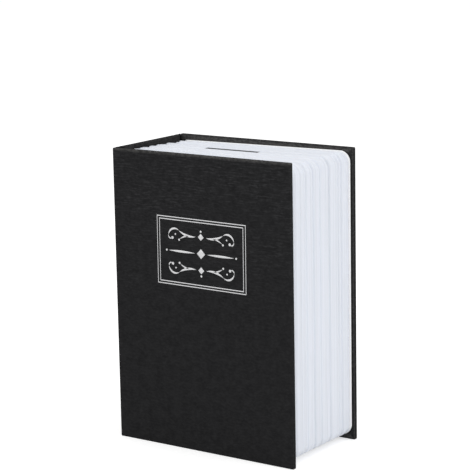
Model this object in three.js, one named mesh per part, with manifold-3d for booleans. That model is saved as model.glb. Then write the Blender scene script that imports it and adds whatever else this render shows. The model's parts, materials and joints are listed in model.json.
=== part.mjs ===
// Book diversion safe with a coin slot: a hinged book cover round a moulded block of pages, with a lockable
// steel cash tray inside. Lengths are millimetres and +Z is up. X runs from the spine to the fore-edge and
// Y from the front cover to the back cover. The origin is the middle of the base that the book stands on.
import * as THREE from "three";
import { mergeVertices } from "three/addons/utils/BufferGeometryUtils.js";
import Module from "manifold-3d";

const wasm = await Module();
wasm.setup();

// Whole book, over its cloth
const bookWidth = 81.4;
const bookDepth = 45.6;
const bookHeight = 115;

// Cover panels, from the outside in: cloth, board, turned-in cloth and lining
const clothThickness = 0.25;
const boardThickness = 1.5;
const liningThickness = 0.2;
const glueLine = 0.05;
const turnInWidth = 10;
const liningMargin = 2;
const jointGap = 3;

// Foil title panel on the front cover: two frames and three swelled rules
const titleWidth = 41;
const titleHeight = 26.6;
const titleCentreX = 0.5;
const titleCentreZ = 77.6;
const foilThickness = 0.08;
const foilLineWidth = 0.45;
const foilLineGap = 0.5;
const ruleNames = ["top", "middle", "bottom"];
const ruleWidthShares = [0.6, 0.74, 0.66];
const ruleHeight = 3.2;
const ruleLozengeWidth = 4.4;
const ruleStemHeight = 0.8;
const rulePitch = 6.6;

// Moulded page block
const headSquare = 1.6;
const tailSquare = 2;
const foreSquare = 0.9;
const pageClearance = 0.3;
const pageWall = 2.6;
const gutterWall = 3.6;
const rimThickness = 1.6;
const rimCover = 0.5;
const foreCornerRadius = 4.3;
const spineCornerRadius = 0.8;
const signatureBulge = 0.6;
const signatureRound = 0.9;
const roundLimitShare = 0.45;
const grooveDepth = 0.5;
const gutterScallop = 1.9;
const scallopLimitShare = 0.6;
const signatureShares = [0.249, 0.133, 0.122, 0.168, 0.169, 0.058, 0.101];
const rearPlateThickness = 2.9;
const rearRimThickness = 1;
const rearPlateRound = 0.3;
const rearNeckInset = 0.6;

// Coin slot through the head of the pages and the tray
const slotLength = 24.6;
const slotWidth = 2.8;
const slotCentreX = -2.6;
const slotCentreY = 3.1;
const traySlotMargin = 0.4;

// Steel cash tray
const sheetThickness = 0.8;
const trayClearance = 0.3;
const lipWidth = 3;

// Rivets that hold the tray to the rear plate
const trayRivetRadius = 1.5;
const trayRivetHeadRadius = 2.8;
const trayRivetHeadHeight = 0.9;
const trayRivetTailRadius = 2.4;
const trayRivetTailHeight = 0.8;
const rivetClearance = 0.1;
const trayRivetInsetX = 14;
const trayRivetInsetZ = 20;

// Steel door
const doorRecess = 0.3;
const doorSeatGap = 0.3;
const doorEdgeGap = 0.5;
const doorCornerRadius = 1.5;

// Continuous hinge between the tray and the door
const hingeSheet = 0.6;
const pinRadius = 0.75;
const pinClearance = 0.1;
const pinOverhang = 0.4;
const knuckleRadius = 1.4;
const knuckleCount = 7;
const knuckleGap = 0.3;
const hingeWallGap = 0.25;
const hingeEndGap = 1.5;
const leafReach = 8;
const leafClearance = 0.3;
const hingeRivetCount = 4;
const hingeRivetRadius = 0.9;
const hingeRivetHeadRadius = 1.7;
const hingeRivetHeadHeight = 0.6;
const hingeRivetReach = 5;

// Cam lock in the door
const lockFromFreeEdge = 11.1;
const flangeRadius = 7;
const flangeThickness = 1.1;
const barrelRadius = 5.4;
const barrelFlat = 4.7;
const barrelLength = 11;
const barrelClearance = 0.15;
const plugHeadRadius = 4.5;
const plugHeadThickness = 1;
const plugRadius = 3.5;
const plugClearance = 0.2;
const plugOverhang = 0.1;
const shankSide = 4.2;
const shankClearance = 0.1;
const keywayWidth = 1.3;
const keywayHeight = 5.4;
const keywayDepth = 8.8;
const waferCount = 4;
const waferPitch = 1.7;
const firstWaferDepth = 2;
const waferThickness = 0.7;
const waferWidth = 2.4;
const waferHeight = 6.4;
const waferWindowWidth = 1.5;
const waferWindowHeight = 3.8;
const waferClearance = 0.1;
const waferGroove = 1;
const washerThickness = 0.5;
const washerRadius = 7.4;
const nutThickness = 2.2;
const nutRadius = 7.7;
const nutSides = 6;
const camThickness = 1.6;
const camWidth = 7;
const camReach = 10.5;
const camScrewRadius = 1;
const camScrewLength = 4;
const camScrewHeadRadius = 3;
const camScrewHeadHeight = 1.3;
const camScrewSlotWidth = 0.7;
const camScrewSlotDepth = 0.6;

// Strike that the cam turns behind
const strikeSheet = 1;
const strikeHeight = 14;
const strikeReach = 5.2;
const strikeCamGap = 0.5;
const strikeLipGap = 0.3;

// How finely curves are cut, and how far a cut runs past the face that it opens
const arcDivisions = 3;
const roundDivisions = 3;
const turnedSegments = 32;
const hingeSegments = 24;
const domeSegments = 4;
const overrun = 1;

// Planes that the pieces share
const frontY = -bookDepth / 2;
const backY = bookDepth / 2;
const spineX = -bookWidth / 2;
const foreX = bookWidth / 2;
const panelThickness = 2 * clothThickness + boardThickness + 2 * glueLine;
const liningFace = panelThickness + glueLine + liningThickness;
const spineFrontY = frontY + panelThickness + jointGap;
const spineBackY = backY - panelThickness - jointGap;

const pageSpineX = spineX + liningFace + pageClearance;
const pageForeX = foreX - foreSquare;
const pageBottomZ = tailSquare;
const pageTopZ = bookHeight - headSquare;
const pageFrontY = frontY + liningFace + pageClearance;
const rearPlateBackY = backY - liningFace - glueLine;
const rearPlateFrontY = rearPlateBackY - rearPlateThickness;
const pageRearY = rearPlateFrontY - glueLine;
const rimBackY = pageFrontY + rimThickness;

const cavityLeftX = pageSpineX + gutterWall;
const cavityRightX = pageForeX - pageWall;
const cavityBottomZ = pageBottomZ + pageWall;
const cavityTopZ = pageTopZ - pageWall;

const trayLeftX = cavityLeftX + trayClearance;
const trayRightX = cavityRightX - trayClearance;
const trayBottomZ = cavityBottomZ + trayClearance;
const trayTopZ = cavityTopZ - trayClearance;
const trayFrontY = rimBackY + trayClearance;
const trayBackY = rearPlateFrontY - trayClearance;
const trayInnerLeftX = trayLeftX + sheetThickness;
const trayInnerRightX = trayRightX - sheetThickness;
const trayInnerBottomZ = trayBottomZ + sheetThickness;
const trayInnerTopZ = trayTopZ - sheetThickness;
const trayInnerBackY = trayBackY - sheetThickness;

const doorFrontY = trayFrontY + doorRecess;
const doorBackY = doorFrontY + sheetThickness;
const lipFrontY = doorBackY + doorSeatGap;
const lipBackY = lipFrontY + sheetThickness;
const hingeAxisX = trayInnerLeftX + hingeWallGap + knuckleRadius;
const hingeAxisY = doorFrontY - glueLine - hingeSheet;
const doorLeftX = hingeAxisX + knuckleRadius + doorEdgeGap;
const doorRightX = trayInnerRightX - doorEdgeGap;
const doorBottomZ = trayInnerBottomZ + doorEdgeGap;
const doorTopZ = trayInnerTopZ - doorEdgeGap;
const hingeBottomZ = trayInnerBottomZ + hingeEndGap;
const hingeTopZ = trayInnerTopZ - hingeEndGap;
const hingeRivetX = hingeAxisX + hingeRivetReach;
const hingeRivetPitch = (hingeTopZ - hingeBottomZ) / hingeRivetCount;
const hingeRivetHeights = Array.from(
  { length: hingeRivetCount },
  (_, index) => hingeBottomZ + (index + 1 / 2) * hingeRivetPitch,
);

const lockX = doorRightX - lockFromFreeEdge;
const lockZ = (doorBottomZ + doorTopZ) / 2;
const plugEnd = barrelLength + plugOverhang;
const camFront = plugEnd + glueLine;
const camBack = camFront + camThickness;
const shankEnd = camBack + glueLine;

const trayRivetSpots = [trayInnerLeftX + trayRivetInsetX, trayInnerRightX - trayRivetInsetX].flatMap((x) =>
  [trayInnerBottomZ + trayRivetInsetZ, trayInnerTopZ - trayRivetInsetZ].map((z) => ({ x, z })),
);

// Finishes
const finishes = {
  cloth: new THREE.MeshStandardMaterial({ color: 0x252525, roughness: 0.8, metalness: 0 }),
  board: new THREE.MeshStandardMaterial({ color: 0x8d877c, roughness: 0.95, metalness: 0 }),
  lining: new THREE.MeshStandardMaterial({ color: 0x1c1c1d, roughness: 0.85, metalness: 0 }),
  foil: new THREE.MeshStandardMaterial({ color: 0xd6d6d6, roughness: 0.35, metalness: 0.8 }),
  page: new THREE.MeshStandardMaterial({ color: 0xe2e6ee, roughness: 0.45, metalness: 0 }),
  paint: new THREE.MeshStandardMaterial({ color: 0x18191b, roughness: 0.5, metalness: 0.3 }),
  zinc: new THREE.MeshStandardMaterial({ color: 0xb9bcc0, roughness: 0.35, metalness: 1 }),
  chrome: new THREE.MeshStandardMaterial({ color: 0xd9dbde, roughness: 0.15, metalness: 1 }),
  brass: new THREE.MeshStandardMaterial({ color: 0xc7a45a, roughness: 0.3, metalness: 1 }),
};

// Turns a closed geometry into a solid that can be joined and cut.
function solidFrom(geometry) {
  const bare = geometry.clone();
  bare.deleteAttribute("normal");
  bare.deleteAttribute("uv");
  const merged = mergeVertices(bare);
  return new wasm.Manifold(
    new wasm.Mesh({
      numProp: 3,
      vertProperties: merged.attributes.position.array,
      triVerts: new Uint32Array(merged.index.array),
    }),
  );
}

// Turns a solid back into a geometry.
function geometryFrom(solid) {
  const mesh = solid.getMesh();
  const geometry = new THREE.BufferGeometry();
  geometry.setAttribute("position", new THREE.BufferAttribute(mesh.vertProperties, mesh.numProp));
  geometry.setIndex(new THREE.BufferAttribute(mesh.triVerts, 1));
  geometry.computeVertexNormals();
  return geometry;
}

// Adds a solid to a group as a named mesh that sits at the middle of its own box.
function addPiece(group, name, solid, material) {
  const geometry = geometryFrom(solid);
  geometry.computeBoundingBox();
  const middle = geometry.boundingBox.getCenter(new THREE.Vector3());
  geometry.translate(-middle.x, -middle.y, -middle.z);
  const mesh = new THREE.Mesh(geometry, material);
  mesh.name = name;
  mesh.position.copy(middle);
  group.add(mesh);
}

// A box between two values on each axis.
function box([left, right], [front, back], [bottom, top]) {
  const geometry = new THREE.BoxGeometry(right - left, back - front, top - bottom);
  geometry.translate((left + right) / 2, (front + back) / 2, (bottom + top) / 2);
  return solidFrom(geometry);
}

// A range of a given length about its middle.
function about(middle, length) {
  return [middle - length / 2, middle + length / 2];
}

// An outline in X and Z extruded from front to back, with edges rounded by inset across and round along Y.
function extrudeY(outline, [front, back], inset = 0, round = 0) {
  const geometry = new THREE.ExtrudeGeometry(outline, {
    depth: back - front - 2 * round,
    curveSegments: arcDivisions,
    bevelEnabled: inset > 0,
    bevelSize: inset,
    bevelOffset: -inset,
    bevelThickness: round,
    bevelSegments: roundDivisions,
  });
  geometry.translate(0, 0, round);
  geometry.rotateX(Math.PI / 2);
  geometry.translate(0, back, 0);
  return solidFrom(geometry);
}

// An outline in X and Y extruded from bottom to top.
function extrudeZ(outline, [bottom, top]) {
  const geometry = new THREE.ExtrudeGeometry(outline, {
    depth: top - bottom,
    curveSegments: arcDivisions,
    bevelEnabled: false,
  });
  geometry.translate(0, 0, bottom);
  return solidFrom(geometry);
}

// A rectangle with rounded corners, which have one radius at its left and one at its right.
function roundedRectangle([left, right], [bottom, top], leftRadius, rightRadius) {
  const quarter = Math.PI / 2;
  const outline = new THREE.Shape();
  outline.absarc(right - rightRadius, bottom + rightRadius, rightRadius, -quarter, 0, false);
  outline.absarc(right - rightRadius, top - rightRadius, rightRadius, 0, quarter, false);
  outline.absarc(left + leftRadius, top - leftRadius, leftRadius, quarter, 2 * quarter, false);
  outline.absarc(left + leftRadius, bottom + leftRadius, leftRadius, 2 * quarter, 3 * quarter, false);
  outline.closePath();
  return outline;
}

// A cylinder along Y about a point in X and Z.
function cylinderY(radius, [front, back], x = 0, z = 0, segments = turnedSegments) {
  const geometry = new THREE.CylinderGeometry(radius, radius, back - front, segments);
  geometry.translate(x, (front + back) / 2, z);
  return solidFrom(geometry);
}

// A cylinder along Z about a point in X and Y.
function cylinderZ(radius, [bottom, top], x, y) {
  const geometry = new THREE.CylinderGeometry(radius, radius, top - bottom, hingeSegments);
  geometry.rotateX(Math.PI / 2);
  geometry.translate(x, y, (bottom + top) / 2);
  return solidFrom(geometry);
}

// A body turned about Y from a profile of radius and Y, which starts and ends on the axis.
function turned(profile) {
  const points = profile.map(([radius, y]) => new THREE.Vector2(radius, y));
  return solidFrom(new THREE.LatheGeometry(points, turnedSegments));
}

// The profile of a domed head, from its middle to the rim of its flat face.
function domeProfile(radius, height, flatY) {
  return Array.from({ length: domeSegments + 1 }, (_, step) => {
    const angle = (step / domeSegments) * (Math.PI / 2);
    return [radius * Math.sin(angle), flatY - height * Math.cos(angle)];
  });
}

// One cover panel in its own frame: its outer face on y = 0, x from 0 to width and z from 0 to the book's
// height. Each side is "folded" over the board, wrapped at its "edge" only, or "open" to a cloth joint.
function coverPanel(group, names, width, { start, end }) {
  const pocketDepth = clothThickness + 2 * glueLine + boardThickness;
  const pocketX = [
    start === "open" ? -overrun : clothThickness,
    end === "open" ? width + overrun : width - clothThickness,
  ];
  const windowX = [
    start === "folded" ? turnInWidth : pocketX[0],
    end === "folded" ? width - turnInWidth : pocketX[1],
  ];
  const windowZ = [turnInWidth, bookHeight - turnInWidth];
  const cloth = box([0, width], [0, panelThickness], [0, bookHeight])
    .subtract(box(pocketX, [clothThickness, pocketDepth], [clothThickness, bookHeight - clothThickness]))
    .subtract(box(windowX, [clothThickness, panelThickness + overrun], windowZ));
  addPiece(group, names.cloth, cloth, finishes.cloth);

  const edge = clothThickness + glueLine;
  const boardX = [start === "open" ? 0 : edge, end === "open" ? width : width - edge];
  const board = box(boardX, [edge, edge + boardThickness], [edge, bookHeight - edge]);
  addPiece(group, names.board, board, finishes.board);

  const liningX = [start === "open" ? 0 : liningMargin, end === "open" ? width : width - liningMargin];
  const liningZ = [liningMargin, bookHeight - liningMargin];
  const sheet = box(liningX, [panelThickness + glueLine, liningFace], liningZ);
  const fillX = [
    start === "open" ? 0 : Math.max(windowX[0] + glueLine, liningMargin),
    end === "open" ? width : Math.min(windowX[1] - glueLine, width - liningMargin),
  ];
  const fill = box(fillX, [pocketDepth, liningFace], [windowZ[0] + glueLine, windowZ[1] - glueLine]);
  addPiece(group, names.lining, sheet.add(fill), finishes.lining);
}

// The foil frames and swelled rules on the front face, in the book's frame.
function titlePanel(group) {
  const foilY = [frontY - foilThickness - glueLine, frontY - glueLine];
  const ruledFrame = (inset) => {
    const outer = [about(titleCentreX, titleWidth - 2 * inset), about(titleCentreZ, titleHeight - 2 * inset)];
    const inner = outer.map(([low, high]) => [low + foilLineWidth, high - foilLineWidth]);
    const cutY = [foilY[0] - overrun, foilY[1] + overrun];
    return box(outer[0], foilY, outer[1]).subtract(box(inner[0], cutY, inner[1]));
  };
  addPiece(group, "title_frame_outer", ruledFrame(0), finishes.foil);
  addPiece(group, "title_frame_inner", ruledFrame(foilLineWidth + foilLineGap), finishes.foil);

  ruleNames.forEach((name, row) => {
    const centreZ = titleCentreZ + (1 - row) * rulePitch;
    const reach = (titleWidth * ruleWidthShares[row]) / 2;
    const rule = new THREE.Shape();
    rule.moveTo(titleCentreX - reach, centreZ);
    rule.lineTo(titleCentreX - ruleLozengeWidth / 2, centreZ - ruleStemHeight / 2);
    rule.lineTo(titleCentreX, centreZ - ruleHeight / 2);
    rule.lineTo(titleCentreX + ruleLozengeWidth / 2, centreZ - ruleStemHeight / 2);
    rule.lineTo(titleCentreX + reach, centreZ);
    rule.lineTo(titleCentreX + ruleLozengeWidth / 2, centreZ + ruleStemHeight / 2);
    rule.lineTo(titleCentreX, centreZ + ruleHeight / 2);
    rule.lineTo(titleCentreX - ruleLozengeWidth / 2, centreZ + ruleStemHeight / 2);
    rule.closePath();
    addPiece(group, `title_rule_${name}`, extrudeY(rule, foilY), finishes.foil);
  });
}

// The three panels of the case and the two cloth joints between them.
function bookCase(book) {
  const front = new THREE.Group();
  front.position.set(spineX, frontY, 0);
  coverPanel(
    front,
    { cloth: "front_cover_cloth", board: "front_board", lining: "front_lining" },
    bookWidth,
    { start: "edge", end: "folded" },
  );

  const back = new THREE.Group();
  back.position.set(foreX, backY, 0);
  back.rotation.z = Math.PI;
  coverPanel(
    back,
    { cloth: "back_cover_cloth", board: "back_board", lining: "back_lining" },
    bookWidth,
    { start: "folded", end: "edge" },
  );

  const spine = new THREE.Group();
  spine.position.set(spineX, spineBackY, 0);
  spine.rotation.z = -Math.PI / 2;
  coverPanel(
    spine,
    { cloth: "spine_cloth", board: "spine_board", lining: "spine_lining" },
    spineBackY - spineFrontY,
    { start: "open", end: "open" },
  );
  book.add(front, back, spine);

  const jointX = [spineX, spineX + 2 * clothThickness];
  const frontJoint = [frontY + panelThickness + glueLine, spineFrontY - glueLine];
  const backJoint = [spineBackY + glueLine, backY - panelThickness - glueLine];
  addPiece(book, "front_joint_cloth", box(jointX, frontJoint, [0, bookHeight]), finishes.cloth);
  addPiece(book, "back_joint_cloth", box(jointX, backJoint, [0, bookHeight]), finishes.cloth);
}

// Where each signature of pages starts and ends along Y.
function signatureSpans() {
  const depth = pageRearY - pageFrontY;
  const total = signatureShares.reduce((sum, share) => sum + share, 0);
  let start = pageFrontY;
  return signatureShares.map((share) => {
    const end = start + (depth * share) / total;
    const span = [start, end];
    start = end;
    return span;
  });
}

// The plan of the pages, whose spine side is one half ellipse for each signature.
function gutterPlan(spans) {
  const plan = new THREE.Shape();
  const scallop = ([from, to]) => Math.min(gutterScallop, (to - from) * scallopLimitShare);
  const last = spans[spans.length - 1];
  plan.moveTo(pageForeX + overrun, pageFrontY - overrun);
  plan.lineTo(pageForeX + overrun, pageRearY + overrun);
  plan.lineTo(pageSpineX + scallop(last), pageRearY + overrun);
  [...spans].reverse().forEach((span) => {
    const [from, to] = span;
    const reach = scallop(span);
    plan.absellipse(
      pageSpineX + reach, (from + to) / 2, reach, (to - from) / 2, Math.PI / 2, (3 * Math.PI) / 2, false, 0,
    );
  });
  plan.lineTo(pageSpineX + scallop(spans[0]), pageFrontY - overrun);
  plan.closePath();
  return plan;
}

// The rounded outline of the pages, drawn in from its full size by inset.
function pageOutline(inset) {
  return roundedRectangle(
    [pageSpineX + inset, pageForeX - inset],
    [pageBottomZ + inset, pageTopZ - inset],
    spineCornerRadius,
    foreCornerRadius - inset,
  );
}

// The moulded shell of pages: rounded signatures in front of an open back, a rim and the coin slot.
function pageShell() {
  const spans = signatureSpans();
  const coreY = [pageFrontY + signatureRound, pageRearY - signatureRound];
  const stack = spans.reduce((joined, [from, to]) => {
    const round = Math.min(signatureRound, (to - from) * roundLimitShare);
    return joined.add(extrudeY(pageOutline(0), [from, to], signatureBulge, round));
  }, extrudeY(pageOutline(grooveDepth), coreY));
  const planZ = [pageBottomZ - overrun, pageTopZ + overrun];
  const scalloped = stack.intersect(extrudeZ(gutterPlan(spans), planZ));
  const cavityY = [rimBackY, pageRearY + overrun];
  const cavity = box([cavityLeftX, cavityRightX], cavityY, [cavityBottomZ, cavityTopZ]);
  const mouth = box(
    [trayLeftX + rimCover, trayRightX - rimCover],
    [pageFrontY - overrun, rimBackY + overrun],
    [trayBottomZ + rimCover, trayTopZ - rimCover],
  );
  return scalloped.subtract(cavity).subtract(mouth).subtract(coinSlot(0, [cavityTopZ, pageTopZ]));
}

// The cutter for the coin slot, widened by a margin all round.
function coinSlot(margin, [bottom, top]) {
  return box(
    about(slotCentreX, slotLength + 2 * margin),
    about(slotCentreY, slotWidth + 2 * margin),
    [bottom - overrun, top + overrun],
  );
}

// The plate that closes the pages at the back: a rim behind a narrower neck, with a counterbored hole for
// each tray rivet.
function rearPlate() {
  const rimY = [rearPlateBackY - rearRimThickness, rearPlateBackY];
  const neckY = [rearPlateFrontY, rearPlateBackY - rearPlateRound];
  const rim = extrudeY(pageOutline(0), rimY, rearPlateRound, rearPlateRound);
  const plate = rim.add(extrudeY(pageOutline(rearNeckInset), neckY));
  return trayRivetSpots.reduce((cut, { x, z }) => {
    const holeY = [rearPlateFrontY - overrun, rearPlateBackY];
    const hole = cylinderY(trayRivetRadius + rivetClearance, holeY, x, z);
    const seatY = [rearPlateBackY - trayRivetTailHeight - rivetClearance, rearPlateBackY + overrun];
    const seat = cylinderY(trayRivetTailRadius + rivetClearance, seatY, x, z);
    return cut.subtract(hole).subtract(seat);
  }, plate);
}

// The folded steel tray, open at the front, with a lip behind the door on every side but the hinge's.
function steelTray() {
  const innerX = [trayInnerLeftX, trayInnerRightX];
  const innerZ = [trayInnerBottomZ, trayInnerTopZ];
  const doorwayX = [trayInnerLeftX, trayInnerRightX - lipWidth];
  const doorwayZ = [trayInnerBottomZ + lipWidth, trayInnerTopZ - lipWidth];
  const hingeSideX = [trayInnerLeftX, doorLeftX];
  const shell = box([trayLeftX, trayRightX], [trayFrontY, trayBackY], [trayBottomZ, trayTopZ])
    .subtract(box(innerX, [trayFrontY - overrun, lipFrontY], innerZ))
    .subtract(box(doorwayX, [trayFrontY, lipBackY + overrun], doorwayZ))
    .subtract(box(hingeSideX, [trayFrontY, lipBackY + overrun], innerZ))
    .subtract(box(innerX, [lipBackY, trayInnerBackY], innerZ))
    .subtract(coinSlot(traySlotMargin, [trayInnerTopZ, trayTopZ]));
  return trayRivetSpots.reduce((cut, { x, z }) => {
    const hole = [trayInnerBackY - overrun, trayBackY + overrun];
    return cut.subtract(cylinderY(trayRivetRadius + rivetClearance, hole, x, z));
  }, shell);
}

// A rivet through the tray and the rear plate, turned about its own axis with y = 0 inside the tray's back.
function trayRivet() {
  const tailEnd = rearPlateBackY - trayInnerBackY - glueLine;
  const tailStart = tailEnd - trayRivetTailHeight;
  return turned([
    ...domeProfile(trayRivetHeadRadius, trayRivetHeadHeight, -glueLine),
    [trayRivetRadius, -glueLine],
    [trayRivetRadius, tailStart],
    [trayRivetTailRadius, tailStart],
    [trayRivetTailRadius, tailEnd],
    [0, tailEnd],
  ]);
}

// The bracket on the tray's free side whose tongue the cam turns behind.
function strikeBracket() {
  const tongueBack = doorFrontY + camFront - strikeCamGap;
  const tongueFront = tongueBack - strikeSheet;
  const baseX = [trayInnerRightX - glueLine - strikeSheet, trayInnerRightX - glueLine];
  const tongueX = [trayInnerRightX - glueLine - strikeReach, trayInnerRightX - glueLine];
  const height = about(lockZ, strikeHeight);
  return box(baseX, [lipBackY + strikeLipGap, tongueBack], height).add(
    box(tongueX, [tongueFront, tongueBack], height),
  );
}

// Where each hinge knuckle starts and ends along Z; even ones are the tray's and odd ones the door's.
function knuckleSpans() {
  const pitch = (hingeTopZ - hingeBottomZ + knuckleGap) / knuckleCount;
  return Array.from({ length: knuckleCount }, (_, index) => {
    const bottom = hingeBottomZ + index * pitch;
    return [bottom, bottom + pitch - knuckleGap];
  });
}

// One hinge leaf: its plate, its own knuckles, room for the other leaf's knuckles and the bore for the pin.
function hingeLeaf(plate, ownKnuckles, otherKnuckles) {
  const room = knuckleRadius + leafClearance;
  const cleared = otherKnuckles.reduce((cut, [bottom, top]) => {
    return cut.subtract(cylinderZ(room, [bottom - knuckleGap, top + knuckleGap], hingeAxisX, hingeAxisY));
  }, plate);
  const joined = ownKnuckles.reduce((sum, span) => {
    return sum.add(cylinderZ(knuckleRadius, span, hingeAxisX, hingeAxisY));
  }, cleared);
  const bore = [hingeBottomZ - overrun, hingeTopZ + overrun];
  return joined.subtract(cylinderZ(pinRadius + pinClearance, bore, hingeAxisX, hingeAxisY));
}

// The continuous hinge: a leaf welded to the tray wall, a leaf riveted to the door and their pin.
function doorHinge(trayGroup, doorGroup) {
  const spans = knuckleSpans();
  const trayKnuckles = spans.filter((_, index) => index % 2 === 0);
  const doorKnuckles = spans.filter((_, index) => index % 2 === 1);
  const height = [hingeBottomZ, hingeTopZ];
  const leafLeftX = hingeAxisX - knuckleRadius;
  const trayPlate = box([leafLeftX, leafLeftX + hingeSheet], [hingeAxisY, hingeAxisY + leafReach], height);
  addPiece(trayGroup, "hinge_tray_leaf", hingeLeaf(trayPlate, trayKnuckles, doorKnuckles), finishes.zinc);

  const doorPlate = box([hingeAxisX, hingeAxisX + leafReach], [hingeAxisY, hingeAxisY + hingeSheet], height);
  const doorLeaf = hingeRivetHeights.reduce((cut, z) => {
    const hole = [hingeAxisY - overrun, hingeAxisY + hingeSheet + overrun];
    return cut.subtract(cylinderY(hingeRivetRadius + rivetClearance, hole, hingeRivetX, z));
  }, hingeLeaf(doorPlate, doorKnuckles, trayKnuckles));
  addPiece(doorGroup, "hinge_door_leaf", doorLeaf, finishes.zinc);

  const pinSpan = [hingeBottomZ - pinOverhang, hingeTopZ + pinOverhang];
  addPiece(trayGroup, "hinge_pin", cylinderZ(pinRadius, pinSpan, hingeAxisX, hingeAxisY), finishes.zinc);
}

// A rivet through the hinge leaf and the door, turned about its own axis with y = 0 on the leaf's front.
function hingeRivet() {
  const grip = hingeSheet + glueLine + sheetThickness;
  return turned([
    ...domeProfile(hingeRivetHeadRadius, hingeRivetHeadHeight, -glueLine),
    [hingeRivetRadius, -glueLine],
    [hingeRivetRadius, grip + glueLine],
    [hingeRivetHeadRadius, grip + glueLine],
    [hingeRivetHeadRadius, grip + glueLine + hingeRivetHeadHeight],
    [0, grip + glueLine + hingeRivetHeadHeight],
  ]);
}

// A round bar along Y with two flats, as the lock barrel and its hole in the door have.
function flattedBar(radius, flat, span) {
  return cylinderY(radius, span).intersect(box([-flat, flat], span, [-radius, radius]));
}

// The steel door with its lock hole and rivet holes, in the book's frame.
function steelDoor() {
  const outline = roundedRectangle(
    [doorLeftX, doorRightX], [doorBottomZ, doorTopZ], doorCornerRadius, doorCornerRadius,
  );
  const cutY = [doorFrontY - overrun, doorBackY + overrun];
  const lockHole = flattedBar(barrelRadius + barrelClearance, barrelFlat + barrelClearance, cutY);
  return hingeRivetHeights.reduce((cut, z) => {
    return cut.subtract(cylinderY(hingeRivetRadius + rivetClearance, cutY, hingeRivetX, z));
  }, extrudeY(outline, [doorFrontY, doorBackY]).subtract(lockHole.translate([lockX, 0, lockZ])));
}

// The lock housing in the lock's frame, which has y = 0 on the door's front and its axis along Y.
function lockBarrel() {
  const flange = cylinderY(flangeRadius, [-glueLine - flangeThickness, -glueLine]);
  const body = flattedBar(barrelRadius, barrelFlat, [-flangeThickness, barrelLength]);
  const headSeat = cylinderY(
    plugHeadRadius + plugClearance, [-glueLine - flangeThickness - overrun, -glueLine + plugClearance / 2],
  );
  const bore = cylinderY(plugRadius + plugClearance, [-overrun - flangeThickness, barrelLength + overrun]);
  const groove = box(
    about(0, waferWidth + 2 * plugClearance),
    [firstWaferDepth - waferThickness, keywayDepth],
    about(0, 2 * (plugRadius + waferGroove)),
  );
  return flange.add(body).subtract(headSeat).subtract(bore).subtract(groove);
}

// How deep behind the door's front each wafer sits.
function waferDepths() {
  return Array.from({ length: waferCount }, (_, index) => firstWaferDepth + index * waferPitch);
}

// The turning plug, with its keyway, wafer slots, square shank and screw hole.
function lockPlug() {
  const headFront = -glueLine - flangeThickness;
  const body = turned([
    [0, headFront],
    [plugHeadRadius, headFront],
    [plugHeadRadius, headFront + plugHeadThickness],
    [plugRadius, headFront + plugHeadThickness],
    [plugRadius, plugEnd],
    [0, plugEnd],
  ]);
  const shank = box(about(0, shankSide), [plugEnd - overrun, shankEnd], about(0, shankSide));
  const keyway = box(about(0, keywayWidth), [headFront - overrun, keywayDepth], about(0, keywayHeight));
  const screwHole = cylinderY(
    camScrewRadius + shankClearance, [shankEnd - camScrewLength - shankClearance, shankEnd + overrun],
  );
  return waferDepths().reduce((cut, depth) => {
    const slotY = about(depth, waferThickness + 2 * waferClearance);
    const slot = box(about(0, waferWidth + 2 * waferClearance), slotY, about(0, 2 * (plugRadius + overrun)));
    return cut.subtract(slot);
  }, body.add(shank).subtract(keyway).subtract(screwHole));
}

// One wafer with its key window, drawn in as it is with the key home.
function lockWafer(depth) {
  const plate = box(about(0, waferWidth), about(depth, waferThickness), about(0, waferHeight));
  const window = box(
    about(0, waferWindowWidth), about(depth, waferThickness + 2 * overrun), about(0, waferWindowHeight),
  );
  return plate.subtract(window);
}

// The flat cam, which hangs down from the lock's axis when the door is unlocked.
function lockCam() {
  const half = camWidth / 2;
  const outline = new THREE.Shape();
  outline.absarc(0, 0, half, 0, Math.PI, false);
  outline.absarc(0, half - camReach, half, Math.PI, 2 * Math.PI, false);
  outline.closePath();
  const hole = box(
    about(0, shankSide + 2 * shankClearance),
    [camFront - overrun, camBack + overrun],
    about(0, shankSide + 2 * shankClearance),
  );
  return extrudeY(outline, [camFront, camBack]).subtract(hole);
}

// The slotted screw that holds the cam on the plug.
function camScrew() {
  const headFront = shankEnd + glueLine;
  const headBack = headFront + camScrewHeadHeight;
  const body = turned([
    [0, shankEnd - camScrewLength],
    [camScrewRadius, shankEnd - camScrewLength],
    [camScrewRadius, headFront],
    [camScrewHeadRadius, headFront],
    [camScrewHeadRadius, headBack],
    [0, headBack],
  ]);
  const slotY = [headBack - camScrewSlotDepth, headBack + overrun];
  const slot = box(about(0, camScrewSlotWidth), slotY, about(0, 2 * camScrewHeadRadius));
  return body.subtract(slot);
}

// The washer and the hexagonal nut that clamp the lock in the door.
function lockRing(radius, segments, span) {
  const ring = cylinderY(radius, span, 0, 0, segments);
  const boreSpan = [span[0] - overrun, span[1] + overrun];
  return ring.subtract(cylinderY(barrelRadius + barrelClearance, boreSpan));
}

// The whole lock in its own group.
function camLock() {
  const lock = new THREE.Group();
  lock.position.set(lockX, doorFrontY, lockZ);
  const washerY = [sheetThickness + glueLine, sheetThickness + glueLine + washerThickness];
  const nutY = [washerY[1] + glueLine, washerY[1] + glueLine + nutThickness];
  addPiece(lock, "lock_barrel", lockBarrel(), finishes.chrome);
  addPiece(lock, "lock_washer", lockRing(washerRadius, turnedSegments, washerY), finishes.zinc);
  addPiece(lock, "lock_nut", lockRing(nutRadius, nutSides, nutY), finishes.zinc);
  addPiece(lock, "lock_plug", lockPlug(), finishes.brass);
  waferDepths().forEach((depth, index) => {
    addPiece(lock, `lock_wafer_${index + 1}`, lockWafer(depth), finishes.brass);
  });
  addPiece(lock, "lock_cam", lockCam(), finishes.zinc);
  addPiece(lock, "cam_screw", camScrew(), finishes.zinc);
  return lock;
}

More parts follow.
